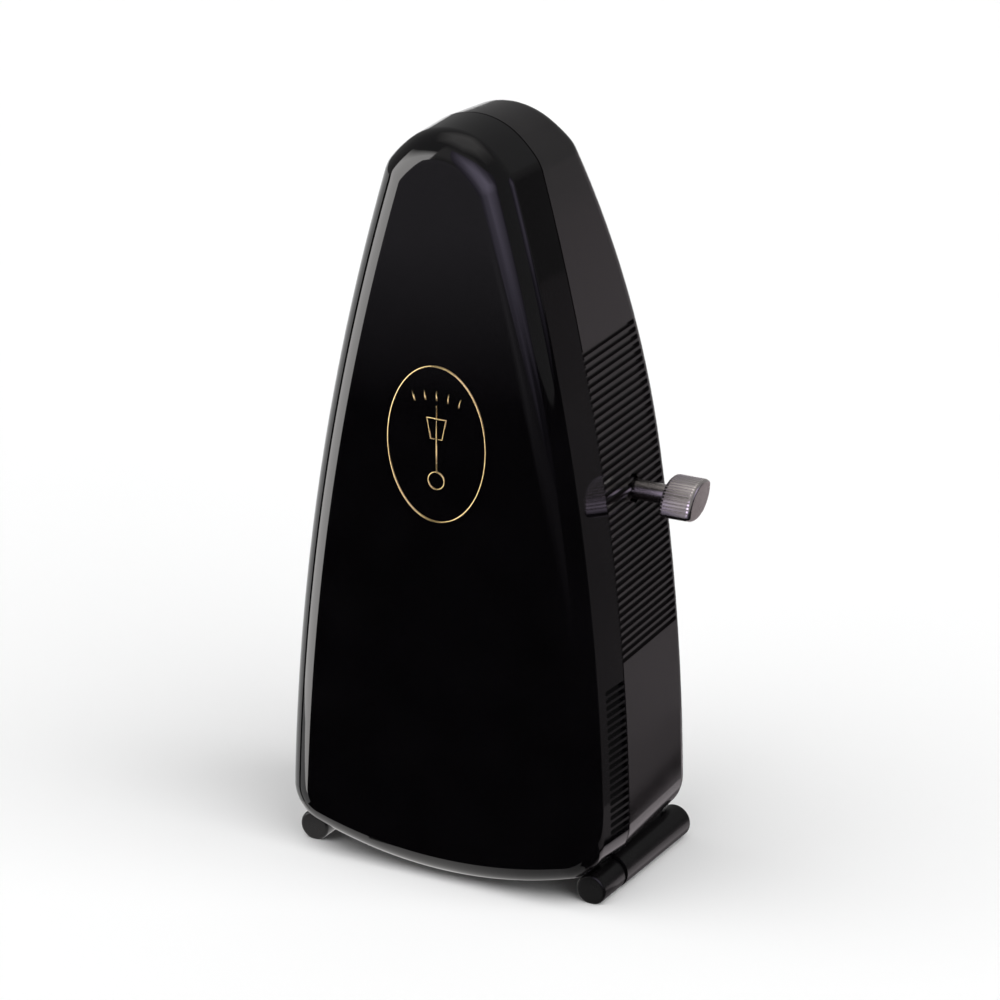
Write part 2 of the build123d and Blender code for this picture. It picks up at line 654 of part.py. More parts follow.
def toothed_disc(teeth, first_angle):
    """Outline of a wheel with straight-sided teeth; one tooth is centred on first_angle."""
    radius = MODULE * teeth / 2
    pitch = 2 * pi / teeth
    half_root = pitch * TOOTH_ROOT_SHARE / 2
    half_tip = pitch * TOOTH_TIP_SHARE / 2
    root, tip = radius - DEDENDUM, radius + ADDENDUM
    points = []
    for i in range(teeth):
        middle = radians(first_angle) + i * pitch
        flanks = ((root, -half_root), (tip, -half_tip), (tip, half_tip), (root, half_root))
        points += [(r * cos(middle + a), r * sin(middle + a)) for r, a in flanks]
    return Polygon(*points, align=None)


def toothed_wheel(teeth, first_angle, x, z, thickness):
    return extrude(across(x, TRAIN_Y, z) * toothed_disc(teeth, first_angle), amount=thickness)


def half_pitch(teeth):
    return 180 / teeth


def great_wheel():
    wheel = toothed_wheel(GREAT_TEETH, -90, GREAT_WHEEL_X, KEY_Z, WHEEL_THICKNESS)
    return wheel - rod_x(WINDING_ARBOR_RADIUS + RUN, GREAT_WHEEL_X, 0, TRAIN_Y, KEY_Z)


def spring_barrel():
    drum = rod_x(BARREL_RADIUS, BARREL_LEFT_X, BARREL_RIGHT_X, TRAIN_Y, KEY_Z)
    return drum - rod_x(BARREL_RADIUS - BARREL_WALL, BARREL_LEFT_X, BARREL_RIGHT_X, TRAIN_Y, KEY_Z)


def barrel_lid():
    left = BARREL_LEFT_X - LID_THICKNESS
    lid = rod_x(BARREL_RADIUS, left, BARREL_LEFT_X, TRAIN_Y, KEY_Z)
    return lid - rod_x(WINDING_ARBOR_RADIUS + RUN, left, BARREL_LEFT_X, TRAIN_Y, KEY_Z)


def mainspring():
    """Flat spiral of half turns, from just outside the arbor core to just inside the drum."""
    first = ARBOR_CORE_RADIUS + SPRING_CLEAR + SPRING_THICKNESS / 2
    last = BARREL_RADIUS - BARREL_WALL - SPRING_CLEAR - SPRING_THICKNESS / 2
    half_turns = 2 * SPRING_TURNS
    growth = (last - first) / half_turns
    left, right = BARREL_LEFT_X + BARREL_END_CLEAR, BARREL_RIGHT_X - BARREL_END_CLEAR
    spring = Part()
    for i in range(half_turns):
        centre_y = TRAIN_Y + growth * (i % 2)
        radius = first + growth * i
        outer = rod_x(radius + SPRING_THICKNESS / 2, left, right, centre_y, KEY_Z)
        ring = outer - rod_x(radius - SPRING_THICKNESS / 2, left, right, centre_y, KEY_Z)
        low, high = (KEY_Z - BARREL_RADIUS, KEY_Z) if i % 2 else (KEY_Z, KEY_Z + BARREL_RADIUS)
        spring += ring & block(left, right, TRAIN_Y - BARREL_RADIUS, TRAIN_Y + BARREL_RADIUS, low, high)
    return spring


def winding_arbor():
    arbor = rod_x(WINDING_ARBOR_RADIUS, -PLATE_OUTER_X, key_socket_end(), TRAIN_Y, KEY_Z)
    core_left, core_right = BARREL_LEFT_X + BARREL_END_CLEAR, BARREL_RIGHT_X - BARREL_END_CLEAR
    return arbor + rod_x(ARBOR_CORE_RADIUS, core_left, core_right, TRAIN_Y, KEY_Z)


def key_stem_start():
    return KEY_WALL_X - KEY_STEM_INSIDE


def key_socket_end():
    return key_stem_start() + KEY_SOCKET_DEPTH


def ratchet_wheel():
    points = []
    for i in range(RATCHET_TEETH):
        tip_angle = 2 * pi * i / RATCHET_TEETH
        for r in (RATCHET_RADIUS, RATCHET_ROOT_RADIUS):
            points.append((r * cos(tip_angle), r * sin(tip_angle)))
    outline = across(RATCHET_X, TRAIN_Y, KEY_Z) * Polygon(*points, align=None)
    wheel = extrude(outline, amount=RATCHET_THICKNESS)
    right = RATCHET_X + RATCHET_THICKNESS
    return wheel - rod_x(WINDING_ARBOR_RADIUS + FIT, RATCHET_X, right, TRAIN_Y, KEY_Z)


def click_tip():
    """Tip of the click as y and z, just outside the ratchet teeth."""
    reach = RATCHET_RADIUS + CLICK_TIP_CLEAR
    angle = radians(CLICK_TIP_ANGLE)
    return TRAIN_Y + reach * cos(angle), KEY_Z + reach * sin(angle)


def click():
    """Lever from the post to the ratchet teeth, narrowing to its tip."""
    tip_y, tip_z = click_tip()
    run_y, run_z = tip_y - CLICK_POST_Y, tip_z - CLICK_POST_Z
    length = hypot(run_y, run_z)
    side_y, side_z = -run_z / length, run_y / length
    root = CLICK_HALF_WIDTH
    points = [
        (CLICK_POST_Y - side_y * root, CLICK_POST_Z - side_z * root),
        (tip_y, tip_z),
        (tip_y + side_y * root, tip_z + side_z * root),
        (CLICK_POST_Y + side_y * root, CLICK_POST_Z + side_z * root),
    ]
    lever = extrude(across(RATCHET_X, 0, 0) * Polygon(*points, align=None), amount=RATCHET_THICKNESS)
    right = RATCHET_X + RATCHET_THICKNESS
    lever += rod_x(CLICK_EYE_RADIUS, RATCHET_X, right, CLICK_POST_Y, CLICK_POST_Z)
    return lever - rod_x(CLICK_POST_RADIUS + RUN, RATCHET_X, right, CLICK_POST_Y, CLICK_POST_Z)


def click_post():
    """Shouldered post that the click turns on, headed outside the click."""
    right = RATCHET_X + RATCHET_THICKNESS + RUN
    post = rod_x(CLICK_POST_RADIUS, PLATE_INNER_X, right, CLICK_POST_Y, CLICK_POST_Z)
    return post + rod_x(CLICK_EYE_RADIUS, right, right + CLICK_HEAD_HEIGHT, CLICK_POST_Y, CLICK_POST_Z)


def click_spring():
    """Leaf above the click on a foot that sits on the plate."""
    tip_y, tip_z = click_tip()
    leaf_low = tip_z + CLICK_HALF_WIDTH + CLICK_SPRING_LIFT
    leaf_y = (CLICK_POST_Y + tip_y) / 2
    right = RATCHET_X + RATCHET_THICKNESS
    foot_top = leaf_low + CLICK_SPRING_RISE
    foot_low = foot_top - CLICK_SPRING_FOOT
    foot = block(PLATE_OUTER_X, right, leaf_y, leaf_y + CLICK_SPRING_FOOT, foot_low, foot_top)
    return foot + block(RATCHET_X, right, leaf_y, leaf_y + CLICK_SPRING_THICKNESS, leaf_low, foot_top)


def second_arbor():
    return rod_x(ARBOR_RADIUS, -PLATE_OUTER_X, PLATE_OUTER_X, TRAIN_Y, SECOND_Z)


def pinion(teeth, middle_x, z):
    """Pinion with a gap on the line to the wheel above that drives it."""
    left = middle_x - PINION_LENGTH / 2
    body = toothed_wheel(teeth, 90 + half_pitch(teeth), left, z, PINION_LENGTH)
    return body - rod_x(ARBOR_RADIUS + FIT, left, left + PINION_LENGTH, TRAIN_Y, z)


def second_pinion():
    return pinion(SECOND_PINION_TEETH, GREAT_WHEEL_X + WHEEL_THICKNESS / 2, SECOND_Z)


def second_wheel():
    wheel = toothed_wheel(SECOND_TEETH, -90, SECOND_WHEEL_X, SECOND_Z, WHEEL_THICKNESS)
    right = SECOND_WHEEL_X + WHEEL_THICKNESS
    ring_radius = (MODULE * SECOND_TEETH / 2 - DEDENDUM + COLLET_RADIUS) / 2
    for i in range(SPOKE_HOLES):
        angle = 2 * pi * i / SPOKE_HOLES
        hole_y, hole_z = TRAIN_Y + ring_radius * cos(angle), SECOND_Z + ring_radius * sin(angle)
        wheel -= rod_x(SPOKE_HOLE_RADIUS, SECOND_WHEEL_X, right, hole_y, hole_z)
    wheel += rod_x(COLLET_RADIUS, right, right + COLLET_LENGTH, TRAIN_Y, SECOND_Z)
    return wheel - rod_x(ARBOR_RADIUS + FIT, SECOND_WHEEL_X, right + COLLET_LENGTH, TRAIN_Y, SECOND_Z)


# Escapement

def escape_arbor():
    return rod_x(ARBOR_RADIUS, ESCAPE_DISC_X, PLATE_OUTER_X, TRAIN_Y, PIVOT_Z)


def escape_pinion():
    return pinion(ESCAPE_PINION_TEETH, SECOND_WHEEL_X + WHEEL_THICKNESS / 2, PIVOT_Z)


def escape_wheel():
    """Crown wheel: a cup whose rim is cut into saw teeth facing the staff."""
    right = ESCAPE_DISC_X + ESCAPE_DISC_THICKNESS
    wheel = rod_x(ESCAPE_RADIUS, ESCAPE_TIP_X, right, TRAIN_Y, PIVOT_Z)
    wheel -= rod_x(ESCAPE_RADIUS - ESCAPE_RIM, ESCAPE_TIP_X, ESCAPE_DISC_X, TRAIN_Y, PIVOT_Z)
    gap = 2 * pi * ESCAPE_RADIUS / ESCAPE_TEETH - ESCAPE_TOOTH_LAND
    notch = Polygon(
        (ESCAPE_TIP_X - ESCAPE_TOOTH_LAND, -gap / 2),
        (ESCAPE_TIP_X - ESCAPE_TOOTH_LAND, gap / 2),
        (ESCAPE_TIP_X, gap / 2),
        (ESCAPE_TIP_X + ESCAPE_TOOTH_DEPTH, -gap / 2 + ESCAPE_TOOTH_LAND),
        (ESCAPE_TIP_X, -gap / 2),
        align=None,
    )
    for i in range(ESCAPE_TEETH):
        angle = 2 * pi * i / ESCAPE_TEETH
        outward = (0, cos(angle), sin(angle))
        radial = Plane((0, TRAIN_Y, PIVOT_Z), x_dir=(1, 0, 0), z_dir=outward)
        wheel -= extrude(radial * notch, amount=ESCAPE_RADIUS * 2)
    return wheel - rod_x(ARBOR_RADIUS + FIT, ESCAPE_DISC_X, right, TRAIN_Y, PIVOT_Z)


def escape_cock():
    """Bracket on the rear bridge that carries the inner end of the escape arbor."""
    right = COCK_X + COCK_THICKNESS
    front = TRAIN_Y - COCK_HALF_HEIGHT
    low, high = PIVOT_Z - COCK_HALF_HEIGHT, PIVOT_Z + COCK_HALF_HEIGHT
    cock = block(COCK_X, right, front, PLATE_REAR_Y, low, high)
    cock += block(right - COCK_FLANGE_REACH, right, PLATE_REAR_Y - COCK_FLANGE, PLATE_REAR_Y, low, high)
    return cock - rod_x(ARBOR_RADIUS + RUN, COCK_X, right, TRAIN_Y, PIVOT_Z)


def pallet(side):
    """Collar on the staff with one vane; side is -1 for the front pallet and 1 for the rear."""
    middle_y = TRAIN_Y + side * PALLET_OFFSET
    front, rear = middle_y - PALLET_LENGTH / 2, middle_y + PALLET_LENGTH / 2
    collar = rod_y(PALLET_COLLAR_RADIUS, front, rear, 0, PIVOT_Z)
    vane_length = PALLET_REACH - ARBOR_RADIUS
    vane = Pos(ARBOR_RADIUS + vane_length / 2, 0, 0) * Box(vane_length, PALLET_LENGTH, PALLET_THICKNESS)
    collar += Pos(0, middle_y, PIVOT_Z) * Rot(0, side * PALLET_ANGLE, 0) * vane
    return collar - rod_y(ARBOR_RADIUS + FIT, front, rear, 0, PIVOT_Z)


# Pendulum

def pendulum_staff():
    return rod_y(ARBOR_RADIUS, NUT_FRONT_Y, REAR_BRIDGE_Y + BUSH_RIM, 0, PIVOT_Z)


def pendulum_hub():
    hub = rod_y(HUB_RADIUS, ROD_REAR_Y, HUB_REAR_Y, 0, PIVOT_Z)
    return hub - rod_y(ARBOR_RADIUS + FIT, ROD_REAR_Y, HUB_REAR_Y, 0, PIVOT_Z)


def pendulum_rod():
    """Flat rod on the hub face, with a row of small notches along its right edge."""
    half = ROD_WIDTH / 2
    outline = Pos(0, PIVOT_Z + ROD_LENGTH / 2) * Rectangle(ROD_WIDTH, ROD_LENGTH)
    outline += Pos(0, PIVOT_Z) * Circle(ROD_EYE_RADIUS)
    outline = fillet(outline.vertices().sort_by(Axis.Y)[-2:], ROD_TIP_ROUND)
    mouth_x, tip_x = half + ROD_NOTCH_DEPTH, half - ROD_NOTCH_DEPTH
    for i in range(ROD_NOTCHES):
        z = PIVOT_Z + ROD_NOTCH_START + i * ROD_NOTCH_PITCH
        low, high = z - ROD_NOTCH_HALF_WIDTH, z + ROD_NOTCH_HALF_WIDTH
        outline -= Polygon((mouth_x, low), (tip_x, z), (mouth_x, high), align=None)
    outline -= Pos(0, PIVOT_Z) * Circle(ARBOR_RADIUS + FIT)
    return extrude(facing_front(ROD_REAR_Y) * outline, amount=ROD_THICKNESS)


def hub_nut():
    flat = RegularPolygon(NUT_RADIUS, 6) - Circle(ARBOR_RADIUS + FIT)
    return extrude(facing_front(ROD_FRONT_Y) * (Pos(0, PIVOT_Z) * flat), amount=NUT_HEIGHT)


def arm_outline(grow):
    """Collar and arm down to the middle of the counterweight."""
    arm = Pos(0, PIVOT_Z - BOB_DISTANCE / 2) * Rectangle(ARM_WIDTH + 2 * grow, BOB_DISTANCE + 2 * grow)
    return arm + Pos(0, PIVOT_Z) * Circle(ARM_COLLAR_RADIUS)


def lower_arm():
    arm = extrude(facing_back(ARM_FRONT_Y) * arm_outline(0), amount=ARM_THICKNESS)
    return arm - rod_y(ARBOR_RADIUS + FIT, ARM_FRONT_Y, ARM_REAR_Y, 0, PIVOT_Z)


def counterweight():
    """Round bob with a slot that the lower arm fits in."""
    middle_y = (ARM_FRONT_Y + ARM_REAR_Y) / 2
    front, rear = middle_y - BOB_THICKNESS / 2, middle_y + BOB_THICKNESS / 2
    bob = rod_y(BOB_RADIUS, front, rear, 0, PIVOT_Z - BOB_DISTANCE)
    bob = fillet(bob.edges().filter_by(GeomType.CIRCLE), WEIGHT_ROUND)
    return bob - extrude(facing_back(ARM_FRONT_Y - FIT) * arm_outline(FIT), amount=ARM_THICKNESS + 2 * FIT)


def tempo_weight():
    """Sliding weight, wider at the top, on the rod."""
    z = PIVOT_Z + WEIGHT_DISTANCE
    top, bottom = z + WEIGHT_HEIGHT / 2, z - WEIGHT_HEIGHT / 2
    outline = Polygon(
        (-WEIGHT_BOTTOM_WIDTH / 2, bottom),
        (WEIGHT_BOTTOM_WIDTH / 2, bottom),
        (WEIGHT_TOP_WIDTH / 2, top),
        (-WEIGHT_TOP_WIDTH / 2, top),
        align=None,
    )
    front_y, rear_y = ROD_FRONT_Y - WEIGHT_FRONT, ROD_REAR_Y + WEIGHT_BACK
    body = extrude(facing_front(rear_y) * outline, amount=rear_y - front_y)
    body = fillet(body.faces().sort_by(Axis.Y)[0].edges(), WEIGHT_ROUND)
    half = ROD_WIDTH / 2 + SLIDE_CLEAR
    body -= block(-half, half, ROD_FRONT_Y - SLIDE_CLEAR, ROD_REAR_Y + SLIDE_CLEAR, bottom, top)
    return body - clip_form(FIT, ROD_FRONT_Y)


def clip_form(grow, rear_y):
    """Leaf in front of the rod, grown a little for the pocket of the weight that it lies in."""
    z = PIVOT_Z + WEIGHT_DISTANCE
    half = CLIP_WIDTH / 2 + grow
    front_y = ROD_FRONT_Y - CLIP_CLEAR - CLIP_THICKNESS - grow
    return block(-half, half, front_y, rear_y, z - CLIP_LENGTH / 2 - grow, z + CLIP_LENGTH / 2 + grow)


def weight_clip():
    return clip_form(0, ROD_FRONT_Y - CLIP_CLEAR)


def scale_plate():
    edge = casing_outline(COVER_WALL + LIP_CLEAR + LIP_WALL + SCALE_CLEAR)
    plate = extrude(facing_back(SCALE_FRONT_Y) * edge, amount=SCALE_THICKNESS)
    plate -= rod_y(SCALE_STAFF_HOLE, SCALE_FRONT_Y, SCALE_REAR_Y, 0, PIVOT_Z)
    for x, z in post_places():
        plate -= rod_y(SCREW_SHANK + FIT, SCALE_FRONT_Y, SCALE_REAR_Y, x, z)
    return plate


def scale_screws():
    screws = Part()
    for x, z in post_places():
        head = rod_y(SCALE_SCREW_HEAD, SCALE_FRONT_Y - SCREW_HEAD_HEIGHT, SCALE_FRONT_Y, x, z)
        screws += head + rod_y(SCREW_SHANK, SCALE_FRONT_Y, SCALE_REAR_Y + SCREW_DEPTH - FIT, x, z)
    return screws


def pendulum_catch():
    """Hook on the scale plate above the rod, whose lip hangs in front of the rod's end."""
    lip_rear = ROD_FRONT_Y - CATCH_LIP_CLEAR
    lip_front = lip_rear - CATCH_LIP_THICKNESS
    half = CATCH_WIDTH / 2
    top = CATCH_BOTTOM_Z + CATCH_HEIGHT
    hook = block(-half, half, lip_front, SCALE_FRONT_Y, CATCH_BOTTOM_Z, top)
    return hook + block(-half, half, lip_front, lip_rear, CATCH_BOTTOM_Z - CATCH_LIP_DROP, top)


# Winding key

def winding_key():
    """Round stem with a socket for the arbor, and a lens-shaped knurled head."""
    stem = rod_x(KEY_STEM_RADIUS, key_stem_start(), KEY_HEAD_X, TRAIN_Y, KEY_Z)
    stem -= rod_x(WINDING_ARBOR_RADIUS + FIT, key_stem_start(), key_socket_end(), TRAIN_Y, KEY_Z)
    long, short = KEY_HEAD_HALF_LONG, KEY_HEAD_HALF_SHORT
    lens = make_face(
        [
            ThreePointArc((-long, 0), (0, short), (long, 0)),
            ThreePointArc((long, 0), (0, -short), (-long, 0)),
        ]
    )
    lens = fillet(lens.vertices(), KEY_HEAD_TIP_ROUND)
    tilted_lens = Rot(0, 0, KEY_TILT) * lens
    head = extrude(across(KEY_HEAD_X, TRAIN_Y, KEY_Z) * tilted_lens, amount=KEY_HEAD_LENGTH)
    head = fillet(head.faces().filter_by(Axis.X).edges(), KEY_HEAD_ROUND)
    flank_radius = (long**2 + short**2) / (2 * short)
    half_turn = degrees(asin(long / flank_radius)) * KEY_KNURL_SPREAD
    for side in (0, 180):
        for i in range(KEY_KNURLS):
            angle = radians(half_turn * (2 * i / (KEY_KNURLS - 1) - 1))
            groove_u = flank_radius * sin(angle)
            groove_v = flank_radius * cos(angle) - flank_radius + short
            turn = radians(KEY_TILT + side)
            y = TRAIN_Y + groove_u * cos(turn) - groove_v * sin(turn)
            z = KEY_Z + groove_u * sin(turn) + groove_v * cos(turn)
            head -= rod_x(KEY_KNURL_RADIUS, KEY_HEAD_X, KEY_HEAD_X + KEY_HEAD_LENGTH, y, z)
    return stem + head


PIECES = {
    "rear_case": rear_case,
    "left_foot_bar": lambda: foot_bar(-FOOT_X),
    "right_foot_bar": lambda: foot_bar(FOOT_X),
    "front_cover": front_cover,
    "left_cover_foot": lambda: cover_foot(-FOOT_X),
    "right_cover_foot": lambda: cover_foot(FOOT_X),
    "left_foot_cap": lambda: foot_cap(-FOOT_X),
    "right_foot_cap": lambda: foot_cap(FOOT_X),
    "badge_panel": badge_panel,
    "scale_plate": scale_plate,
    "scale_screws": scale_screws,
    "pendulum_catch": pendulum_catch,
    "left_plate": lambda: movement_plate(-1),
    "right_plate": lambda: movement_plate(1),
    "plate_pillars": plate_pillars,
    "left_plate_screws": lambda: plate_screws(-1),
    "right_plate_screws": lambda: plate_screws(1),
    "movement_screws": movement_screws,
    "front_bridge": lambda: bridge(FRONT_BRIDGE_Y),
    "rear_bridge": lambda: bridge(PLATE_REAR_Y),
    "front_bush": lambda: bush(FRONT_BRIDGE_Y),
    "rear_bush": lambda: bush(PLATE_REAR_Y),
    "bridge_screws": bridge_screws,
    "escape_cock": escape_cock,
    "click_post": click_post,
    "click_spring": click_spring,
    "winding_key": winding_key,
    "winding_arbor": winding_arbor,
    "ratchet_wheel": ratchet_wheel,
    "click": click,
    "great_wheel": great_wheel,
    "spring_barrel": spring_barrel,
    "barrel_lid": barrel_lid,
    "mainspring": mainspring,
    "second_arbor": second_arbor,
    "second_pinion": second_pinion,
    "second_wheel": second_wheel,
    "escape_arbor": escape_arbor,
    "escape_pinion": escape_pinion,
    "escape_wheel": escape_wheel,
    "pendulum_staff": pendulum_staff,
    "front_pallet": lambda: pallet(-1),
    "rear_pallet": lambda: pallet(1),
    "pendulum_hub": pendulum_hub,
    "hub_nut": hub_nut,
    "pendulum_rod": pendulum_rod,
    "lower_arm": lower_arm,
    "counterweight": counterweight,
    "tempo_weight": tempo_weight,
    "weight_clip": weight_clip,
}

os.makedirs("parts", exist_ok=True)
for name, make in PIECES.items():
    export_step(make(), f"parts/{name}.step")
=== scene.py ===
import json
from math import atan2, ceil, cos, hypot, pi, radians, sin, sqrt, tan

import bmesh
import bpy
from mathutils import Matrix, Vector


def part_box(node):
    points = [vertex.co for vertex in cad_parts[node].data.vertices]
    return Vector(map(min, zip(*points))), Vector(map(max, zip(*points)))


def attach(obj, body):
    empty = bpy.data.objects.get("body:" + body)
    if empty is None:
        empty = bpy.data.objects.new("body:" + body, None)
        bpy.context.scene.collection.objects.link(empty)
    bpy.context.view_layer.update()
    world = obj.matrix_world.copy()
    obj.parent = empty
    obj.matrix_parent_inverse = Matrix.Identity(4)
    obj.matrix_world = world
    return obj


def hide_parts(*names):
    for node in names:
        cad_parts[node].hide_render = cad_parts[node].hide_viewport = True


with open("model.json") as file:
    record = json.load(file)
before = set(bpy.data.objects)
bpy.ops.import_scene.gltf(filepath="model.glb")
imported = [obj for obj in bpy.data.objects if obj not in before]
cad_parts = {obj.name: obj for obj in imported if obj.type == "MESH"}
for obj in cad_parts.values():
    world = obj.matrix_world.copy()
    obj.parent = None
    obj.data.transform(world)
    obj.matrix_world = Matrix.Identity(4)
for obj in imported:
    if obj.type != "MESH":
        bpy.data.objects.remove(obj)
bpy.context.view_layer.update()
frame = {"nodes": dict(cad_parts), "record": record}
nodes = frame["nodes"]
scene = bpy.context.scene
MM = 0.001

# Camera, as in the photograph: angles in degrees, places in millimetres
CAMERA_AZIMUTH = 28.07
CAMERA_ELEVATION = 20.28
CAMERA_ROLL = 0.5
CAMERA_DISTANCE = 931.2
CAMERA_TARGET = (1.54, 8.0, 75.74)
CAMERA_LENS = 165.6
SENSOR_WIDTH = 36.0

# Outline and profile of the cover, as in its solid, in millimetres and degrees
HALF_WIDTH = 36.3
SIDE_RADIUS = 515.0
SIDE_CENTRE_Z = 0.7
BELLY_Z = 0.3
CORNER_Z = 7.6
CORNER_ROUND = 9.7
SHOULDER_Z = 150.0
SHOULDER_ROUND = 8.6
APEX_Z = 160.2
APEX_ROUND = 14.7
ROOF_CROWN = 1.45
SEAM_Y = -0.2
DRAFT = 2.9
COVER_DEPTH = 15.6
COVER_WALL = 2.0
EDGE_ROLL = 6.0
ROLL_STEPS = 40
INNER_ROLL_STEPS = 8
OUTLINE_STEP = 1.5
OUTLINE_TURN = 2.5
SUPPORT = 0.12
SHARP_TURN = 35.0
MERGE_DISTANCE = 0.002
SLIVER_LENGTH = 0.0005

# Ribs on the side walls of the cover, in millimetres
RIB_PITCH = 1.57
GROOVE_HALF = 0.5
GROOVE_DEPTH = 0.8
COVER_RIBS = 20
COVER_RIB_Z = 15.6
COVER_RIB_REACH = 7.4
GROOVE_END_SHARES = (0, 0.4, 0.7, 0.9, 1)

# Badge on the cover, in millimetres
BADGE_CLEAR = 0.02
BADGE_RECESS = 0.45
BADGE_FIELD_SINK = 0.14
BADGE_RIM_WIDTH = 0.42
BADGE_LINE_WIDTH = 0.36
BADGE_STEPS = 96
BADGE_TICKS = 5
BADGE_TICK_SPREAD = 34.0
LINE_STEPS = 6

# Pendulum figure on the badge, as shares of the badge's half height
BOB_DROP = 0.46
BOB_SIZE = 0.11
BOB_STEPS = 32
ROD_RISE = 0.5
WEIGHT_RISE = 0.2
WEIGHT_HALF_TOP = 0.13
WEIGHT_HALF_LOW = 0.08
TICK_REACH = (1.02, 1.14)

# Print on the scale plate, in millimetres
TEMPOS = (40, 44, 48, 52, 56, 60, 66, 72, 80, 88, 96, 104, 112, 120, 132, 144, 160, 176, 192, 208)
TEMPO_TEXT_SIZE = 3.2
TEMPO_TEXT_X = 8.2
TEMPO_LINE_X = (3.0, 5.6)
TEMPO_LINE_WIDTH = 0.35
PRINT_THICKNESS = 0.03


def add_camera():
    """Camera on a sphere about its target, turned a little about its own axis."""
    azimuth, elevation = radians(CAMERA_AZIMUTH), radians(CAMERA_ELEVATION)
    back = Vector((sin(azimuth) * cos(elevation), -cos(azimuth) * cos(elevation), sin(elevation)))
    level_right = Vector((cos(azimuth), sin(azimuth), 0))
    level_up = back.cross(level_right)
    roll = radians(CAMERA_ROLL)
    right = level_right * cos(roll) + level_up * sin(roll)
    up = level_up * cos(roll) - level_right * sin(roll)
    data = bpy.data.cameras.new("camera")
    data.sensor_width = SENSOR_WIDTH
    data.lens = CAMERA_LENS
    camera = bpy.data.objects.new("camera", data)
    scene.collection.objects.link(camera)
    place = Vector(CAMERA_TARGET) * MM + back * CAMERA_DISTANCE * MM
    turn = Matrix((right, up, back)).transposed()
    camera.matrix_world = Matrix.Translation(place) @ turn.to_4x4()
    scene.camera = camera


# Shader helpers; scales are features a metre, depths are in metres

NOISE_DETAIL = 3.0
NOISE_LOW = 0.3
NOISE_HIGH = 0.7
CLOUD_SCALE = 70
TARNISH_SCALE = 90
POLISH_SCALE = 900
POLISH_DEPTH = 0.000004


def new_material(name, color):
    """Material with one colour, its node tree and its shader."""
    material = bpy.data.materials.new(name)
    material.use_nodes = True
    shader = material.node_tree.nodes["Principled BSDF"]
    shader.inputs["Base Color"].default_value = (*color, 1)
    return material, material.node_tree, shader


def add_noise(tree, scale, stretch=(1, 1, 1)):
    """Noise in object space, with scale features a metre."""
    place = tree.nodes.new("ShaderNodeTexCoord")
    mapping = tree.nodes.new("ShaderNodeMapping")
    mapping.inputs["Scale"].default_value = stretch
    noise = tree.nodes.new("ShaderNodeTexNoise")
    noise.inputs["Scale"].default_value = scale
    noise.inputs["Detail"].default_value = NOISE_DETAIL
    tree.links.new(place.outputs["Object"], mapping.inputs["Vector"])
    tree.links.new(mapping.outputs["Vector"], noise.inputs["Vector"])
    return noise.outputs["Fac"]


def drive(tree, noise, socket, low, high):
    """Lets a noise vary a socket from low to high."""
    step = tree.nodes.new("ShaderNodeMapRange")
    step.inputs["From Min"].default_value = NOISE_LOW
    step.inputs["From Max"].default_value = NOISE_HIGH
    step.inputs["To Min"].default_value = low
    step.inputs["To Max"].default_value = high
    tree.links.new(noise, step.inputs["Value"])
    tree.links.new(step.outputs["Result"], socket)


def tint(tree, noise, socket, dark, light):
    """Lets a noise vary a colour socket between two colours."""
    ramp = tree.nodes.new("ShaderNodeValToRGB")
    ramp.color_ramp.elements[0].position = NOISE_LOW
    ramp.color_ramp.elements[0].color = (*dark, 1)
    ramp.color_ramp.elements[1].position = NOISE_HIGH
    ramp.color_ramp.elements[1].color = (*light, 1)
    tree.links.new(noise, ramp.inputs["Fac"])
    tree.links.new(ramp.outputs["Color"], socket)


def emboss(tree, shader, noise, depth):
    """Fine relief of the given depth in metres."""
    bump = tree.nodes.new("ShaderNodeBump")
    bump.inputs["Strength"].default_value = 1.0
    bump.inputs["Distance"].default_value = depth
    tree.links.new(noise, bump.inputs["Height"])
    tree.links.new(bump.outputs["Normal"], shader.inputs["Normal"])


def plastic(name, dark, light, gloss, level, grain, depth):
    """Moulded plastic: uneven tone and gloss, and a fine skin."""
    material, tree, shader = new_material(name, light)
    shader.inputs["Specular IOR Level"].default_value = level
    cloud = add_noise(tree, CLOUD_SCALE)
    tint(tree, cloud, shader.inputs["Base Color"], dark, light)
    drive(tree, cloud, shader.inputs["Roughness"], *gloss)
    emboss(tree, shader, add_noise(tree, grain), depth)
    return material


def metal(name, dark, light, gloss, stretch):
    """Metal with fine polishing lines; stretch draws them out along one axis."""
    material, tree, shader = new_material(name, light)
    shader.inputs["Metallic"].default_value = 1.0
    tint(tree, add_noise(tree, TARNISH_SCALE), shader.inputs["Base Color"], dark, light)
    lines = add_noise(tree, POLISH_SCALE, stretch)
    drive(tree, lines, shader.inputs["Roughness"], *gloss)
    emboss(tree, shader, lines, POLISH_DEPTH)
    return material


# Materials: two tones each, with the least and the most roughness as gloss

COVER_BLACK = plastic(
    "cover_black",
    dark=(0.0014, 0.0012, 0.0015),
    light=(0.0022, 0.0019, 0.0024),
    gloss=(0.03, 0.07),
    level=0.5,
    grain=1200,
    depth=0.0000004,
)
CASE_BLACK = plastic(
    "case_black",
    dark=(0.0059, 0.0048, 0.0053),
    light=(0.0077, 0.0064, 0.007),
    gloss=(0.1, 0.16),
    level=0.5,
    grain=3000,
    depth=0.000006,
)
FOOT_BLACK = plastic(
    "foot_black",
    dark=(0.0025, 0.0023, 0.0025),
    light=(0.004, 0.0037, 0.004),
    gloss=(0.2, 0.3),
    level=0.3,
    grain=2500,
    depth=0.000004,
)
SCALE_CREAM = plastic(
    "scale_cream",
    dark=(0.6, 0.57, 0.49),
    light=(0.66, 0.63, 0.56),
    gloss=(0.4, 0.5),
    level=0.4,
    grain=2000,
    depth=0.000002,
)
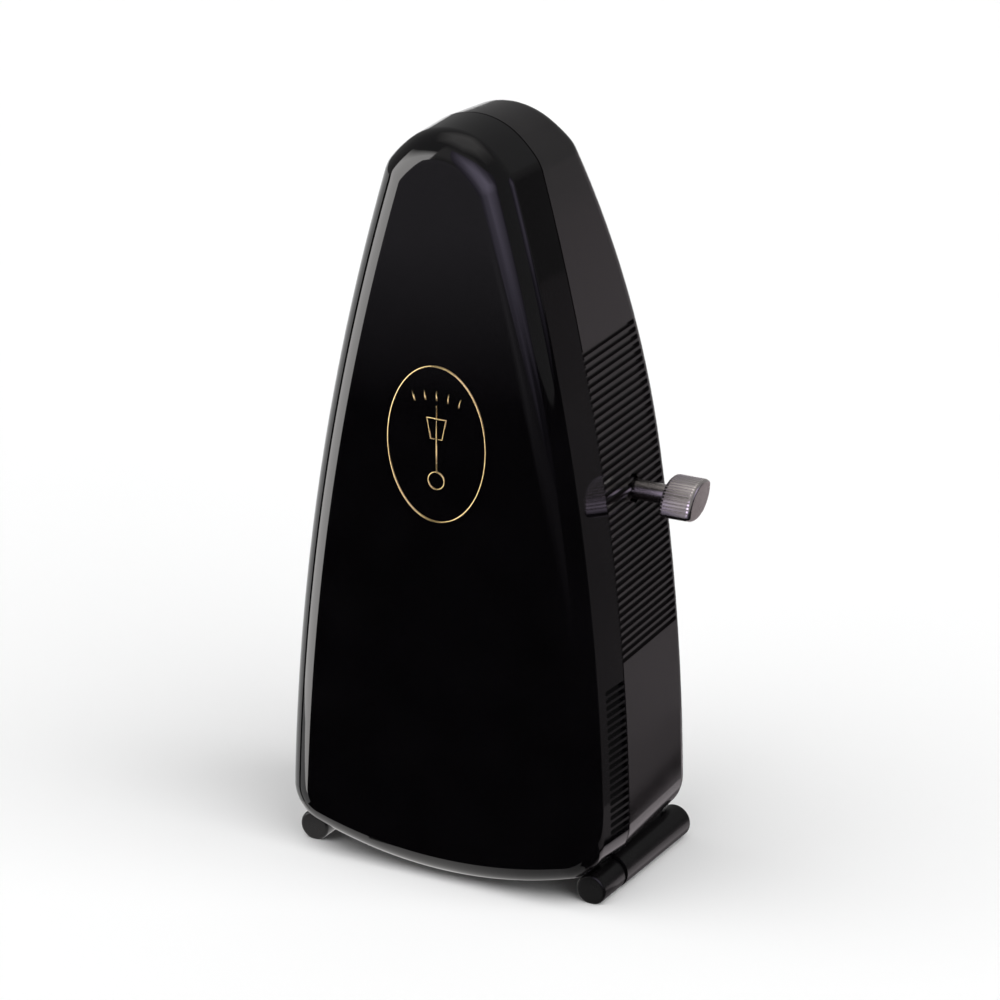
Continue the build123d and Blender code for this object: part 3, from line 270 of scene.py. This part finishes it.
PRINT_BLACK = plastic(
    "print_black",
    dark=(0.012, 0.012, 0.012),
    light=(0.02, 0.02, 0.02),
    gloss=(0.5, 0.6),
    level=0.3,
    grain=3000,
    depth=0.000002,
)
NICKEL = metal(
    "nickel",
    dark=(0.72, 0.67, 0.65),
    light=(0.92, 0.87, 0.85),
    gloss=(0.16, 0.28),
    stretch=(0.1, 1, 1),
)
STEEL = metal(
    "steel",
    dark=(0.42, 0.42, 0.44),
    light=(0.52, 0.52, 0.54),
    gloss=(0.22, 0.38),
    stretch=(1, 1, 0.1),
)
BLUED_STEEL = metal(
    "blued_steel",
    dark=(0.07, 0.09, 0.17),
    light=(0.13, 0.16, 0.27),
    gloss=(0.22, 0.36),
    stretch=(1, 1, 0.1),
)
BRASS = metal(
    "brass",
    dark=(0.6, 0.42, 0.16),
    light=(0.72, 0.53, 0.23),
    gloss=(0.2, 0.36),
    stretch=(1, 1, 0.2),
)
GILT = metal(
    "gilt",
    dark=(0.4, 0.29, 0.13),
    light=(0.62, 0.47, 0.24),
    gloss=(0.14, 0.28),
    stretch=(1, 1, 1),
)

SLOT_MATERIALS = {
    "black_gloss": COVER_BLACK,
    "black_satin": FOOT_BLACK,
    "badge": COVER_BLACK,
    "nickel": NICKEL,
    "scale": SCALE_CREAM,
    "steel": STEEL,
    "spring_steel": BLUED_STEEL,
    "brass": BRASS,
}


def dress_nodes():
    """Gives every CAD node the material of its slot."""
    for part in frame["record"]["subparts"]:
        materials = nodes[part["node"]].data.materials
        materials.clear()
        materials.append(SLOT_MATERIALS[part["material_slot"]])
    nodes["rear_case"].data.materials[0] = CASE_BLACK


# Piece helpers

def add_piece(name, points, faces, material, body, slot):
    """Mesh from points in metres, smooth-shaded, riding on a body."""
    mesh = bpy.data.meshes.new(name)
    mesh.from_pydata(points, [], faces)
    mesh.validate()
    mesh.update()
    mesh.shade_smooth()
    mesh.materials.append(material)
    piece = bpy.data.objects.new(name, mesh)
    scene.collection.objects.link(piece)
    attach(piece, body)
    return piece


def raised_line(path, width, floor_y, top_y, closed):
    """Points and faces of a half-round line along (x, z) points, in millimetres, standing towards -Y."""
    count = len(path)
    points, faces = [], []
    for i, here in enumerate(path):
        before = path[i - 1] if closed or i else here
        after = path[(i + 1) % count] if closed or i + 1 < count else here
        run = (Vector(after) - Vector(before)).normalized()
        for k in range(LINE_STEPS + 1):
            turn = pi * k / LINE_STEPS
            aside = cos(turn) * width / 2
            y = floor_y + (top_y - floor_y) * sin(turn)
            points.append(((here[0] - run.y * aside) * MM, y * MM, (here[1] + run.x * aside) * MM))
    ring_size = LINE_STEPS + 1
    for i in range(count if closed else count - 1):
        a = i * ring_size
        b = (i + 1) % count * ring_size
        faces += [(a + k, a + k + 1, b + k + 1, b + k) for k in range(LINE_STEPS)]
    if not closed:
        last = (count - 1) * ring_size
        faces += [tuple(range(ring_size)), tuple(range(last + ring_size - 1, last - 1, -1))]
    return points, faces


def join(parts):
    """One list of points and faces from several."""
    points, faces = [], []
    for more_points, more_faces in parts:
        start = len(points)
        points += more_points
        faces += [tuple(start + i for i in face) for face in more_faces]
    return points, faces


def ellipse(middle, half_width, half_height, count):
    turns = [2 * pi * i / count for i in range(count)]
    return [(middle[0] + half_width * sin(t), middle[1] + half_height * cos(t)) for t in turns]


def box_mm(node):
    low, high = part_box(node)
    return Vector(low) / MM, Vector(high) / MM


# Cover: rings of the outline, drawn in along the wall and round the rolled edge

def side_half_width(z):
    return HALF_WIDTH - SIDE_RADIUS + sqrt(SIDE_RADIUS**2 - (z - SIDE_CENTRE_Z) ** 2)


def circles_meet(centre_a, radius_a, centre_b, radius_b):
    """Both crossings of two circles, lower one first."""
    run_x, run_z = centre_b[0] - centre_a[0], centre_b[1] - centre_a[1]
    distance = hypot(run_x, run_z)
    along = (distance**2 + radius_a**2 - radius_b**2) / (2 * distance)
    aside = sqrt(radius_a**2 - along**2)
    foot_x, foot_z = centre_a[0] + run_x * along / distance, centre_a[1] + run_z * along / distance
    step_x, step_z = -run_z * aside / distance, run_x * aside / distance
    ends = [(foot_x + step_x, foot_z + step_z), (foot_x - step_x, foot_z - step_z)]
    return sorted(ends, key=lambda end: end[1])


def bearing(start, end):
    return atan2(end[1] - start[1], end[0] - start[0])


def right_arcs():
    """Right half of the outline from below to the apex, as circles with their first and last bearing."""
    half_base, belly_rise = side_half_width(CORNER_Z), CORNER_Z - BELLY_Z
    belly_radius = (half_base**2 + belly_rise**2) / (2 * belly_rise)
    belly, side = (0, BELLY_Z + belly_radius), (HALF_WIDTH - SIDE_RADIUS, SIDE_CENTRE_Z)
    foot_x, rise = side_half_width(SHOULDER_Z), APEX_Z - SHOULDER_Z
    chord = hypot(foot_x, rise)
    roof_radius = (chord**2 / 4 + ROOF_CROWN**2) / (2 * ROOF_CROWN)
    inward = (roof_radius - ROOF_CROWN) / chord
    roof = (foot_x / 2 - rise * inward, SHOULDER_Z + rise / 2 - foot_x * inward)
    corner = circles_meet(side, SIDE_RADIUS - CORNER_ROUND, belly, belly_radius - CORNER_ROUND)[0]
    shoulder = circles_meet(side, SIDE_RADIUS - SHOULDER_ROUND, roof, roof_radius - SHOULDER_ROUND)[1]
    apex = (0, roof[1] + sqrt((roof_radius - APEX_ROUND) ** 2 - roof[0] ** 2))
    return [
        (belly, belly_radius, -pi / 2, bearing(belly, corner)),
        (corner, CORNER_ROUND, bearing(belly, corner), bearing(side, corner)),
        (side, SIDE_RADIUS, bearing(side, corner), bearing(side, shoulder)),
        (shoulder, SHOULDER_ROUND, bearing(side, shoulder), bearing(roof, shoulder)),
        (roof, roof_radius, bearing(roof, shoulder), bearing(roof, apex)),
        (apex, APEX_ROUND, bearing(roof, apex), pi / 2),
    ]


def arc_stations(centre, radius, first, last):
    """Stations (x, z, bearing) along one arc, without its last end."""
    count = ceil(max(radius * (last - first) / OUTLINE_STEP, (last - first) / radians(OUTLINE_TURN)))
    turns = [first + (last - first) * i / count for i in range(count)]
    return [(centre[0] + radius * cos(t), centre[1] + radius * sin(t), t) for t in turns]


def side_station(z):
    return side_half_width(z), z, atan2(z - SIDE_CENTRE_Z, side_half_width(z) - HALF_WIDTH + SIDE_RADIUS)


def right_stations():
    """Stations of the right half; a groove has four, each with its height above the groove's middle."""
    rib_low = COVER_RIB_Z - RIB_PITCH
    rib_high = COVER_RIB_Z + COVER_RIBS * RIB_PITCH
    plain = []
    for arc in right_arcs():
        plain += [(*station, None) for station in arc_stations(*arc)]
    plain = [s for s in plain if s[0] < HALF_WIDTH / 2 or not rib_low < s[1] < rib_high]
    grooves = []
    for i in range(COVER_RIBS):
        z = COVER_RIB_Z + i * RIB_PITCH
        grooves += [(*side_station(z), edge) for edge in ((-1, 0), (-1, 1), (1, 1), (1, 0))]
    low = [s for s in plain if s[1] <= rib_low or s[2] < -pi / 4]
    high = [s for s in plain if s not in low]
    return low + grooves + high


APEX_CENTRE = right_arcs()[-1][0]
OUTLINE_TOP_Z = APEX_CENTRE[1] + APEX_ROUND


def ring(inset, y, groove_half):
    """Points of the outline drawn in by inset, with the grooves open by groove_half."""
    right = []
    for x, z, turn, groove in right_stations():
        sunk = inset
        if groove:
            x, z, turn = side_station(z + groove[0] * groove_half)
            sunk += GROOVE_DEPTH * groove[1] if groove_half else 0
        right.append((x - sunk * cos(turn), y, z - sunk * sin(turn)))
    apex = [(0, y, OUTLINE_TOP_Z - inset)]
    left = [(-x, y, z) for x, y, z in reversed(right[1:])]
    return [Vector(point) * MM for point in right + apex + left]


def rolled_rings(inset, depth, roll, steps):
    """Rings from the end of the wall round the roll to the face."""
    draft = radians(DRAFT)
    centre_depth = depth - roll
    centre_inset = inset + centre_depth * tan(draft) + roll / cos(draft)
    rings = []
    for k in range(steps + 1):
        turn = draft + (pi / 2 - draft) * k / steps
        rings.append(ring(centre_inset - roll * cos(turn), SEAM_Y - centre_depth - roll * sin(turn), 0))
    return rings, centre_inset


def wall_ring(inset, depth, groove_half):
    return ring(inset + depth * tan(radians(DRAFT)), SEAM_Y - depth, groove_half)


def oval_ring(outer, middle, half_width, half_height, y):
    """One point on an oval for each point of an outer ring, in the same direction."""
    points = []
    for point in outer:
        across = (point.x / MM - middle[0]) / half_width
        up = (point.z / MM - middle[1]) / half_height
        size = hypot(across, up)
        x = middle[0] + half_width * across / size
        z = middle[1] + half_height * up / size
        points.append(Vector((x, y, z)) * MM)
    return points


def add_cover():
    """One skin from the middle of the inside, round the seam edge and the roll, to the badge recess."""
    low, high = box_mm("badge_panel")
    middle = ((low.x + high.x) / 2, (low.z + high.z) / 2)
    oval = ((high.x - low.x) / 2 + BADGE_CLEAR, (high.z - low.z) / 2 + BADGE_CLEAR)
    face_y = SEAM_Y - COVER_DEPTH
    rings = [wall_ring(0, 0, GROOVE_HALF)]
    for share in GROOVE_END_SHARES:
        groove_half = GROOVE_HALF * sqrt(1 - share**2)
        rings.append(wall_ring(0, COVER_RIB_REACH - GROOVE_HALF * (1 - share), groove_half))
    roll_start = COVER_DEPTH - EDGE_ROLL + EDGE_ROLL * sin(radians(DRAFT))
    rings.append(wall_ring(0, roll_start - SUPPORT, 0))
    roll, roll_inset = rolled_rings(0, COVER_DEPTH, EDGE_ROLL, ROLL_STEPS)
    rings += roll
    rings.append(ring(roll_inset + SUPPORT, face_y, 0))
    rings.append(oval_ring(rings[-1], middle, *oval, face_y))
    rings.append(oval_ring(rings[-1], middle, *oval, face_y + BADGE_RECESS))
    inner_roll = EDGE_ROLL - COVER_WALL
    inner = rolled_rings(COVER_WALL, COVER_DEPTH - COVER_WALL, inner_roll, INNER_ROLL_STEPS)[0]
    rings = inner[::-1] + [wall_ring(COVER_WALL, 0, 0)] + rings
    build = bmesh.new()
    rows = [[build.verts.new(point) for point in points] for points in rings]
    count = len(rows[0])
    for near, far in zip(rows, rows[1:]):
        for i in range(count):
            j = (i + 1) % count
            build.faces.new((near[i], near[j], far[j], far[i]))
    build.faces.new(rows[0])
    build.faces.new(rows[-1])
    bmesh.ops.remove_doubles(build, verts=build.verts, dist=MERGE_DISTANCE * MM)
    bmesh.ops.dissolve_degenerate(build, edges=build.edges, dist=SLIVER_LENGTH * MM)
    bmesh.ops.recalc_face_normals(build, faces=build.faces)
    piece = add_piece("cover_shell", [], [], COVER_BLACK, "cover", "black_gloss")
    build.to_mesh(piece.data)
    build.free()
    piece.data.shade_smooth()
    piece.data.set_sharp_from_angle(angle=radians(SHARP_TURN))
    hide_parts("front_cover")


# Badge: a sunk oval field with a gilt rim and a plain pendulum figure

def add_badge():
    """Sunk field in the cover's recess, with its rim and figure on it."""
    low, high = box_mm("badge_panel")
    middle = ((low.x + high.x) / 2, (low.z + high.z) / 2)
    half_width, half_height = (high.x - low.x) / 2, (high.z - low.z) / 2
    front, field_y = low.y, low.y + BADGE_FIELD_SINK
    count = BADGE_STEPS
    edge = ellipse(middle, half_width, half_height, count)
    points = [(x * MM, field_y * MM, z * MM) for x, z in edge]
    points += [(x * MM, high.y * MM, z * MM) for x, z in edge]
    faces = [tuple(range(count)), tuple(range(2 * count - 1, count - 1, -1))]
    faces += [(i, i + count, (i + 1) % count + count, (i + 1) % count) for i in range(count)]
    field = add_piece("badge_field", points, faces, COVER_BLACK, "cover", "badge")
    field.data.shade_flat()
    rim_half = BADGE_RIM_WIDTH / 2
    rim_path = ellipse(middle, half_width - rim_half, half_height - rim_half, count)
    rim = raised_line(rim_path, BADGE_RIM_WIDTH, field_y, front, True)
    add_piece("badge_rim", *rim, GILT, "cover", "badge")
    figure = badge_figure(middle, half_height, field_y, front)
    add_piece("badge_figure", *figure, GILT, "cover", "badge")
    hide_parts("badge_panel")


def badge_figure(middle, half_height, field_y, front):
    """A pendulum with its bob and sliding weight under a short row of ticks."""
    x, z = middle
    line = BADGE_LINE_WIDTH
    bob_z = z - half_height * BOB_DROP
    bob_radius = half_height * BOB_SIZE
    rod = [(x, bob_z + bob_radius), (x, z + half_height * ROD_RISE)]
    bob = ellipse((x, bob_z), bob_radius, bob_radius, BOB_STEPS)
    weight_z = z + half_height * WEIGHT_RISE
    half_top, half_low = half_height * WEIGHT_HALF_TOP, half_height * WEIGHT_HALF_LOW
    weight = [
        (x - half_low, weight_z - half_top),
        (x - half_top, weight_z + half_top),
        (x + half_top, weight_z + half_top),
        (x + half_low, weight_z - half_top),
    ]
    parts = [
        raised_line(rod, line, field_y, front, False),
        raised_line(bob, line, field_y, front, True),
        raised_line(weight, line, field_y, front, True),
    ]
    for i in range(BADGE_TICKS):
        turn = radians(BADGE_TICK_SPREAD * (2 * i / (BADGE_TICKS - 1) - 1) / 2)
        reaches = [half_height * share for share in TICK_REACH]
        ends = [(x + r * sin(turn), bob_z + r * cos(turn)) for r in reaches]
        parts.append(raised_line(ends, line, field_y, front, False))
    return join(parts)


# Scale: a line and a number for every tempo, left and right in turn

def flat_text(body, x, y, z, size):
    """Points and faces of a number facing -Y."""
    curve = bpy.data.curves.new("number", "FONT")
    curve.body = body
    curve.size = size * MM
    curve.align_x = "CENTER"
    curve.align_y = "CENTER"
    holder = bpy.data.objects.new("number", curve)
    mesh = bpy.data.meshes.new_from_object(holder)
    points = [(x * MM + v.co.x, y * MM, z * MM + v.co.y) for v in mesh.vertices]
    faces = [tuple(face.vertices) for face in mesh.polygons]
    bpy.data.objects.remove(holder)
    bpy.data.curves.remove(curve)
    bpy.data.meshes.remove(mesh)
    return points, faces


def add_scale_print():
    """Print in front of the scale plate, along the travel of the weight."""
    plate_front = box_mm("scale_plate")[0].y
    weight_low, weight_high = box_mm("tempo_weight")
    weight_z = (weight_low.z + weight_high.z) / 2
    joints = {joint["name"]: joint for joint in frame["record"]["behaviour"]["joints"]}
    travel = joints["weight_slide"]["range_m"]
    slow_z, fast_z = weight_z + travel[1] / MM, weight_z + travel[0] / MM
    top_y = plate_front - PRINT_THICKNESS
    lines, numbers = [], []
    for i, tempo in enumerate(TEMPOS):
        z = slow_z + (fast_z - slow_z) * i / (len(TEMPOS) - 1)
        side = -1 if i % 2 else 1
        ends = [(side * x, z) for x in TEMPO_LINE_X]
        lines.append(raised_line(ends, TEMPO_LINE_WIDTH, plate_front, top_y, False))
        numbers.append(flat_text(str(tempo), side * TEMPO_TEXT_X, top_y, z, TEMPO_TEXT_SIZE))
    add_piece("scale_lines", *join(lines), PRINT_BLACK, "case", "scale")
    add_piece("scale_numbers", *join(numbers), PRINT_BLACK, "case", "scale")


# Studio: white floor, soft lamps and cards that show in the gloss

FLOOR_HALF = 3.0
FLOOR_WHITE = 0.93
WORLD_LEVEL = 0.2
LAMP_WHITE = (1, 0.98, 0.97)
WARM_WHITE = (1, 0.91, 0.95)
LILAC_WHITE = (0.95, 0.9, 1)
LILAC = (0.82, 0.74, 1)

# Reaches and heights of the cards in millimetres, and the corners that the floor cards fan out from
CARD_LIFT = 0.3
MIDDLE_LIFT = 0.45
UPPER_LIFT = 0.6
FAR = 4400
STREAK_REACH = 700
CEILING_REACH = 900
LEFT_CORNER = (-33, -14)
RIGHT_CORNER = (33, -14)

# Floor in front: share of the glow by azimuth in degrees, glow by reach
FRONT_SHARES = {-75: 0.2, -60: 0.2, -30: 0.25, -12: 0.4, 8: 1.0, 34: 1.0}
FRONT_LEVELS = {14: 0, 290: 0, 450: 0.3, 900: 0.35, FAR: 0.3}
NEAR_X = (-42, 160)
NEAR_Y = (-19.5, -60)

# Streaks: glow by azimuth, one value for each elevation in degrees
STREAK_ELEVATIONS = (0, 5, 9, 20, 33, 50)
STREAK_LEVELS = {
    -55: (0.02, 0.05, 0.12, 0.2, 0.2, 0.25),
    -38: (0.02, 0.1, 0.8, 1.4, 1.5, 0.5),
    -20: (0.1, 0.8, 1.6, 2.2, 2.4, 0.6),
    -3: (0.6, 1.0, 1.3, 1.8, 2.0, 0.6),
    18: (0.3, 0.3, 0.3, 0.3, 0.4, 0.4),
}
DIM_SHARES = {-134: 0.1, -122: 0.9, -108: 0.15}
DIM_LEVELS = {0: 0.1, 3: 0.3, 6: 0.8, 16: 1.0, 26: 0.6}
WALL_AZIMUTHS = (-148, -137)
WALL_LEVELS = {0: 0.07, 8: 0.07, 16: 0.13, 28: 0.2}

# Light band with its dark line: nearest reach by azimuth, glow by elevation, and by x under the casing
BAND_GLOW = 4.6
BAND_NEAR = {34: 25, 59: 70, 75: 100}
BAND_HIGH_AZIMUTHS = (31, 43, 59, 75)
BAND_HIGH_LEVELS = {0: BAND_GLOW, 12: BAND_GLOW, 26: 0.4}
DARK_LINE_AZIMUTHS = (75, 86)
DARK_LINE_NEAR = 5
UNDER_LEVELS = {-45: 1.0, 0: 1.0, 18: 0.5, 45: 0.15}
UNDER_Y = (-19.5, 32)

# Right side: share of the glow by azimuth, glow by reach, and glow by x beside the right foot
SIDE_SHARES = {-50: 0, -100: 0, -137: 0.02, -141: 0.36, -148: 0.48, -153: 0.95, -158: 1.0, -185: 1.1}
SIDE_LEVELS = {4: 0.2, 60: 0.2, 150: 0.26, 900: 0.33, FAR: 0.28}
FOOT_LEVELS = {36.5: 0.75, 44: 0.75, 47.5: 0.4, 49: 0, 51.5: 0, 54.5: 0.18, 66: 0.2}
FOOT_Y = (-1, 100)

# Ceiling: glow by elevation, all over and for the lighter part in front
TOP_AZIMUTHS = range(-180, 181, 60)
TOP_LEVELS = {55: 0.2, 75: 0.8, 90: 0.8}
HIGH_EDGE_GLOW = 0.2
HIGH_LEVELS = {8: 0.2, 25: 0.45, 45: 0.45, 60: 0.2}
HIGH_AZIMUTHS = (-45, -25, 0, 20, 31)


def add_floor():
    """Plain white floor that takes the shadow."""
    h = FLOOR_HALF
    mesh = bpy.data.meshes.new("floor")
    mesh.from_pydata([(-h, -h, 0), (h, -h, 0), (h, h, 0), (-h, h, 0)], [], [(0, 1, 2, 3)])
    floor = bpy.data.objects.new("floor", mesh)
    scene.collection.objects.link(floor)
    material, tree, shader = new_material("floor_white", (FLOOR_WHITE, FLOOR_WHITE, FLOOR_WHITE))
    shader.inputs["Roughness"].default_value = 1.0
    shader.inputs["Specular IOR Level"].default_value = 0.0
    mesh.materials.append(material)


def add_sun(name, azimuth, elevation, softness, level):
    """Wide soft lamp, far off, that the gloss doesn't mirror."""
    data = bpy.data.lights.new(name, "SUN")
    data.energy = level
    data.angle = radians(softness)
    lamp = bpy.data.objects.new(name, data)
    a, e = radians(azimuth), radians(elevation)
    towards = Vector((sin(a) * cos(e), -cos(a) * cos(e), sin(e)))
    lamp.rotation_euler = towards.to_track_quat("Z", "Y").to_euler()
    lamp.visible_glossy = False
    scene.collection.objects.link(lamp)


def add_world():
    """Even white light from all round."""
    world = bpy.data.worlds.new("studio")
    world.use_nodes = True
    background = world.node_tree.nodes["Background"]
    background.inputs["Color"].default_value = (1, 1, 1, 1)
    background.inputs["Strength"].default_value = WORLD_LEVEL
    scene.world = world


def add_card(name, rows, color):
    """Card that only the gloss sees; rows of (x, y, z, glow) corners in millimetres make a grid."""
    width = len(rows[0])
    flat = [corner for row in rows for corner in row]
    faces = []
    for j in range(len(rows) - 1):
        for i in range(width - 1):
            a = j * width + i
            faces.append((a, a + 1, a + 1 + width, a + width))
    mesh = bpy.data.meshes.new(name)
    mesh.from_pydata([(x * MM, y * MM, z * MM) for x, y, z, glow in flat], [], faces)
    glow = mesh.attributes.new("glow", "FLOAT", "POINT")
    for i, corner in enumerate(flat):
        glow.data[i].value = corner[3]
    material = bpy.data.materials.new(name)
    material.use_nodes = True
    tree = material.node_tree
    tree.nodes.clear()
    level = tree.nodes.new("ShaderNodeAttribute")
    level.attribute_name = "glow"
    light = tree.nodes.new("ShaderNodeEmission")
    light.inputs["Color"].default_value = (*color, 1)
    out = tree.nodes.new("ShaderNodeOutputMaterial")
    tree.links.new(level.outputs["Fac"], light.inputs["Strength"])
    tree.links.new(light.outputs["Emission"], out.inputs["Surface"])
    mesh.materials.append(material)
    card = bpy.data.objects.new(name, mesh)
    card.visible_camera = False
    card.visible_diffuse = False
    card.visible_transmission = False
    card.visible_shadow = False
    scene.collection.objects.link(card)


def ray(start, azimuth, reach, height, glow):
    """Corner of a card: reach out from start, azimuth degrees from -Y towards -X."""
    a = radians(azimuth)
    return (start[0] - reach * sin(a), start[1] - reach * cos(a), height, glow)


def fan(start, azimuths, reaches, glow_at, lift=CARD_LIFT):
    """Rows of a card that fans out over the floor."""
    return [[ray(start, a, r, lift, glow_at(a, r)) for r in reaches] for a in azimuths]


def dome(azimuths, elevations, reach, glow_at):
    """Rows of a card on a sphere about the casing."""
    rows = []
    for azimuth in azimuths:
        row = []
        for elevation in elevations:
            e = radians(elevation)
            row.append(ray((0, 0), azimuth, reach * cos(e), reach * sin(e), glow_at(azimuth, elevation)))
        rows.append(row)
    return rows


def strip(levels, ends, lift):
    """Rows of a flat card along Y, with its glow by x."""
    return [[(x, y, lift, glow) for y in ends] for x, glow in levels.items()]


def by_elevation(levels):
    """Glow that goes by the elevation alone."""
    return lambda azimuth, elevation: levels[elevation]


def front_glow(azimuth, reach):
    return FRONT_SHARES[azimuth] * FRONT_LEVELS[reach]


def add_front_cards():
    """Dark floor in front, with the lighter far floor."""
    front = fan(LEFT_CORNER, FRONT_SHARES, FRONT_LEVELS, front_glow)
    add_card("front_card", front, LILAC_WHITE)
    near = strip(dict.fromkeys(NEAR_X, 0.0), NEAR_Y, CARD_LIFT)
    add_card("near_card", near, LAMP_WHITE)


def streak_glow(azimuth, elevation):
    return STREAK_LEVELS[azimuth][STREAK_ELEVATIONS.index(elevation)]


def dim_glow(azimuth, elevation):
    return DIM_SHARES[azimuth] * DIM_LEVELS[elevation]


def add_streak_cards():
    """Faint lilac lights that make the two streaks on the upper right roll, and a dark card beside them."""
    streak = dome(STREAK_LEVELS, STREAK_ELEVATIONS, STREAK_REACH, streak_glow)
    add_card("streak_card", streak, LILAC)
    add_card("dim_card", dome(DIM_SHARES, DIM_LEVELS, FAR, dim_glow), LILAC)
    wall = dome(WALL_AZIMUTHS, WALL_LEVELS, FAR, by_elevation(WALL_LEVELS))
    add_card("wall_card", wall, LAMP_WHITE)


def add_band_cards():
    """Bright floor, left and below, that makes the light band along the left and lower rolls."""
    band = []
    for azimuth, near in BAND_NEAR.items():
        band.append([ray(LEFT_CORNER, azimuth, r, CARD_LIFT, BAND_GLOW) for r in (near, FAR)])
    add_card("band_card", band, LAMP_WHITE)
    high = dome(BAND_HIGH_AZIMUTHS, BAND_HIGH_LEVELS, FAR, by_elevation(BAND_HIGH_LEVELS))
    add_card("band_high_card", high, LAMP_WHITE)
    line = fan(LEFT_CORNER, DARK_LINE_AZIMUTHS, (DARK_LINE_NEAR, FAR), lambda azimuth, reach: 0.0)
    add_card("line_card", line, LAMP_WHITE)
    add_card("under_card", strip(UNDER_LEVELS, UNDER_Y, CARD_LIFT), LAMP_WHITE)


def side_glow(azimuth, reach):
    return SIDE_SHARES[azimuth] * SIDE_LEVELS[reach]


def add_side_cards():
    """Grey floor behind on the right."""
    side = fan(RIGHT_CORNER, SIDE_SHARES, SIDE_LEVELS, side_glow, MIDDLE_LIFT)
    add_card("side_card", side, WARM_WHITE)
    add_card("foot_card", strip(FOOT_LEVELS, FOOT_Y, UPPER_LIFT), WARM_WHITE)


def high_glow(azimuth, elevation):
    return HIGH_EDGE_GLOW if azimuth == HIGH_AZIMUTHS[0] else HIGH_LEVELS[elevation]


def add_ceiling_cards():
    """Ceiling, and a lighter part of it high in front."""
    top = dome(TOP_AZIMUTHS, TOP_LEVELS, CEILING_REACH, by_elevation(TOP_LEVELS))
    add_card("top_card", top, LAMP_WHITE)
    add_card("high_card", dome(HIGH_AZIMUTHS, HIGH_LEVELS, CEILING_REACH, high_glow), LAMP_WHITE)


add_camera()
dress_nodes()
add_cover()
add_badge()
add_scale_print()
add_floor()
add_world()
add_sun("key_lamp", azimuth=-40, elevation=60, softness=60, level=1.6)
add_sun("fill_lamp", azimuth=75, elevation=45, softness=60, level=2.0)
add_front_cards()
add_streak_cards()
add_band_cards()
add_side_cards()
add_ceiling_cards()
scene.view_settings.view_transform = "Standard"
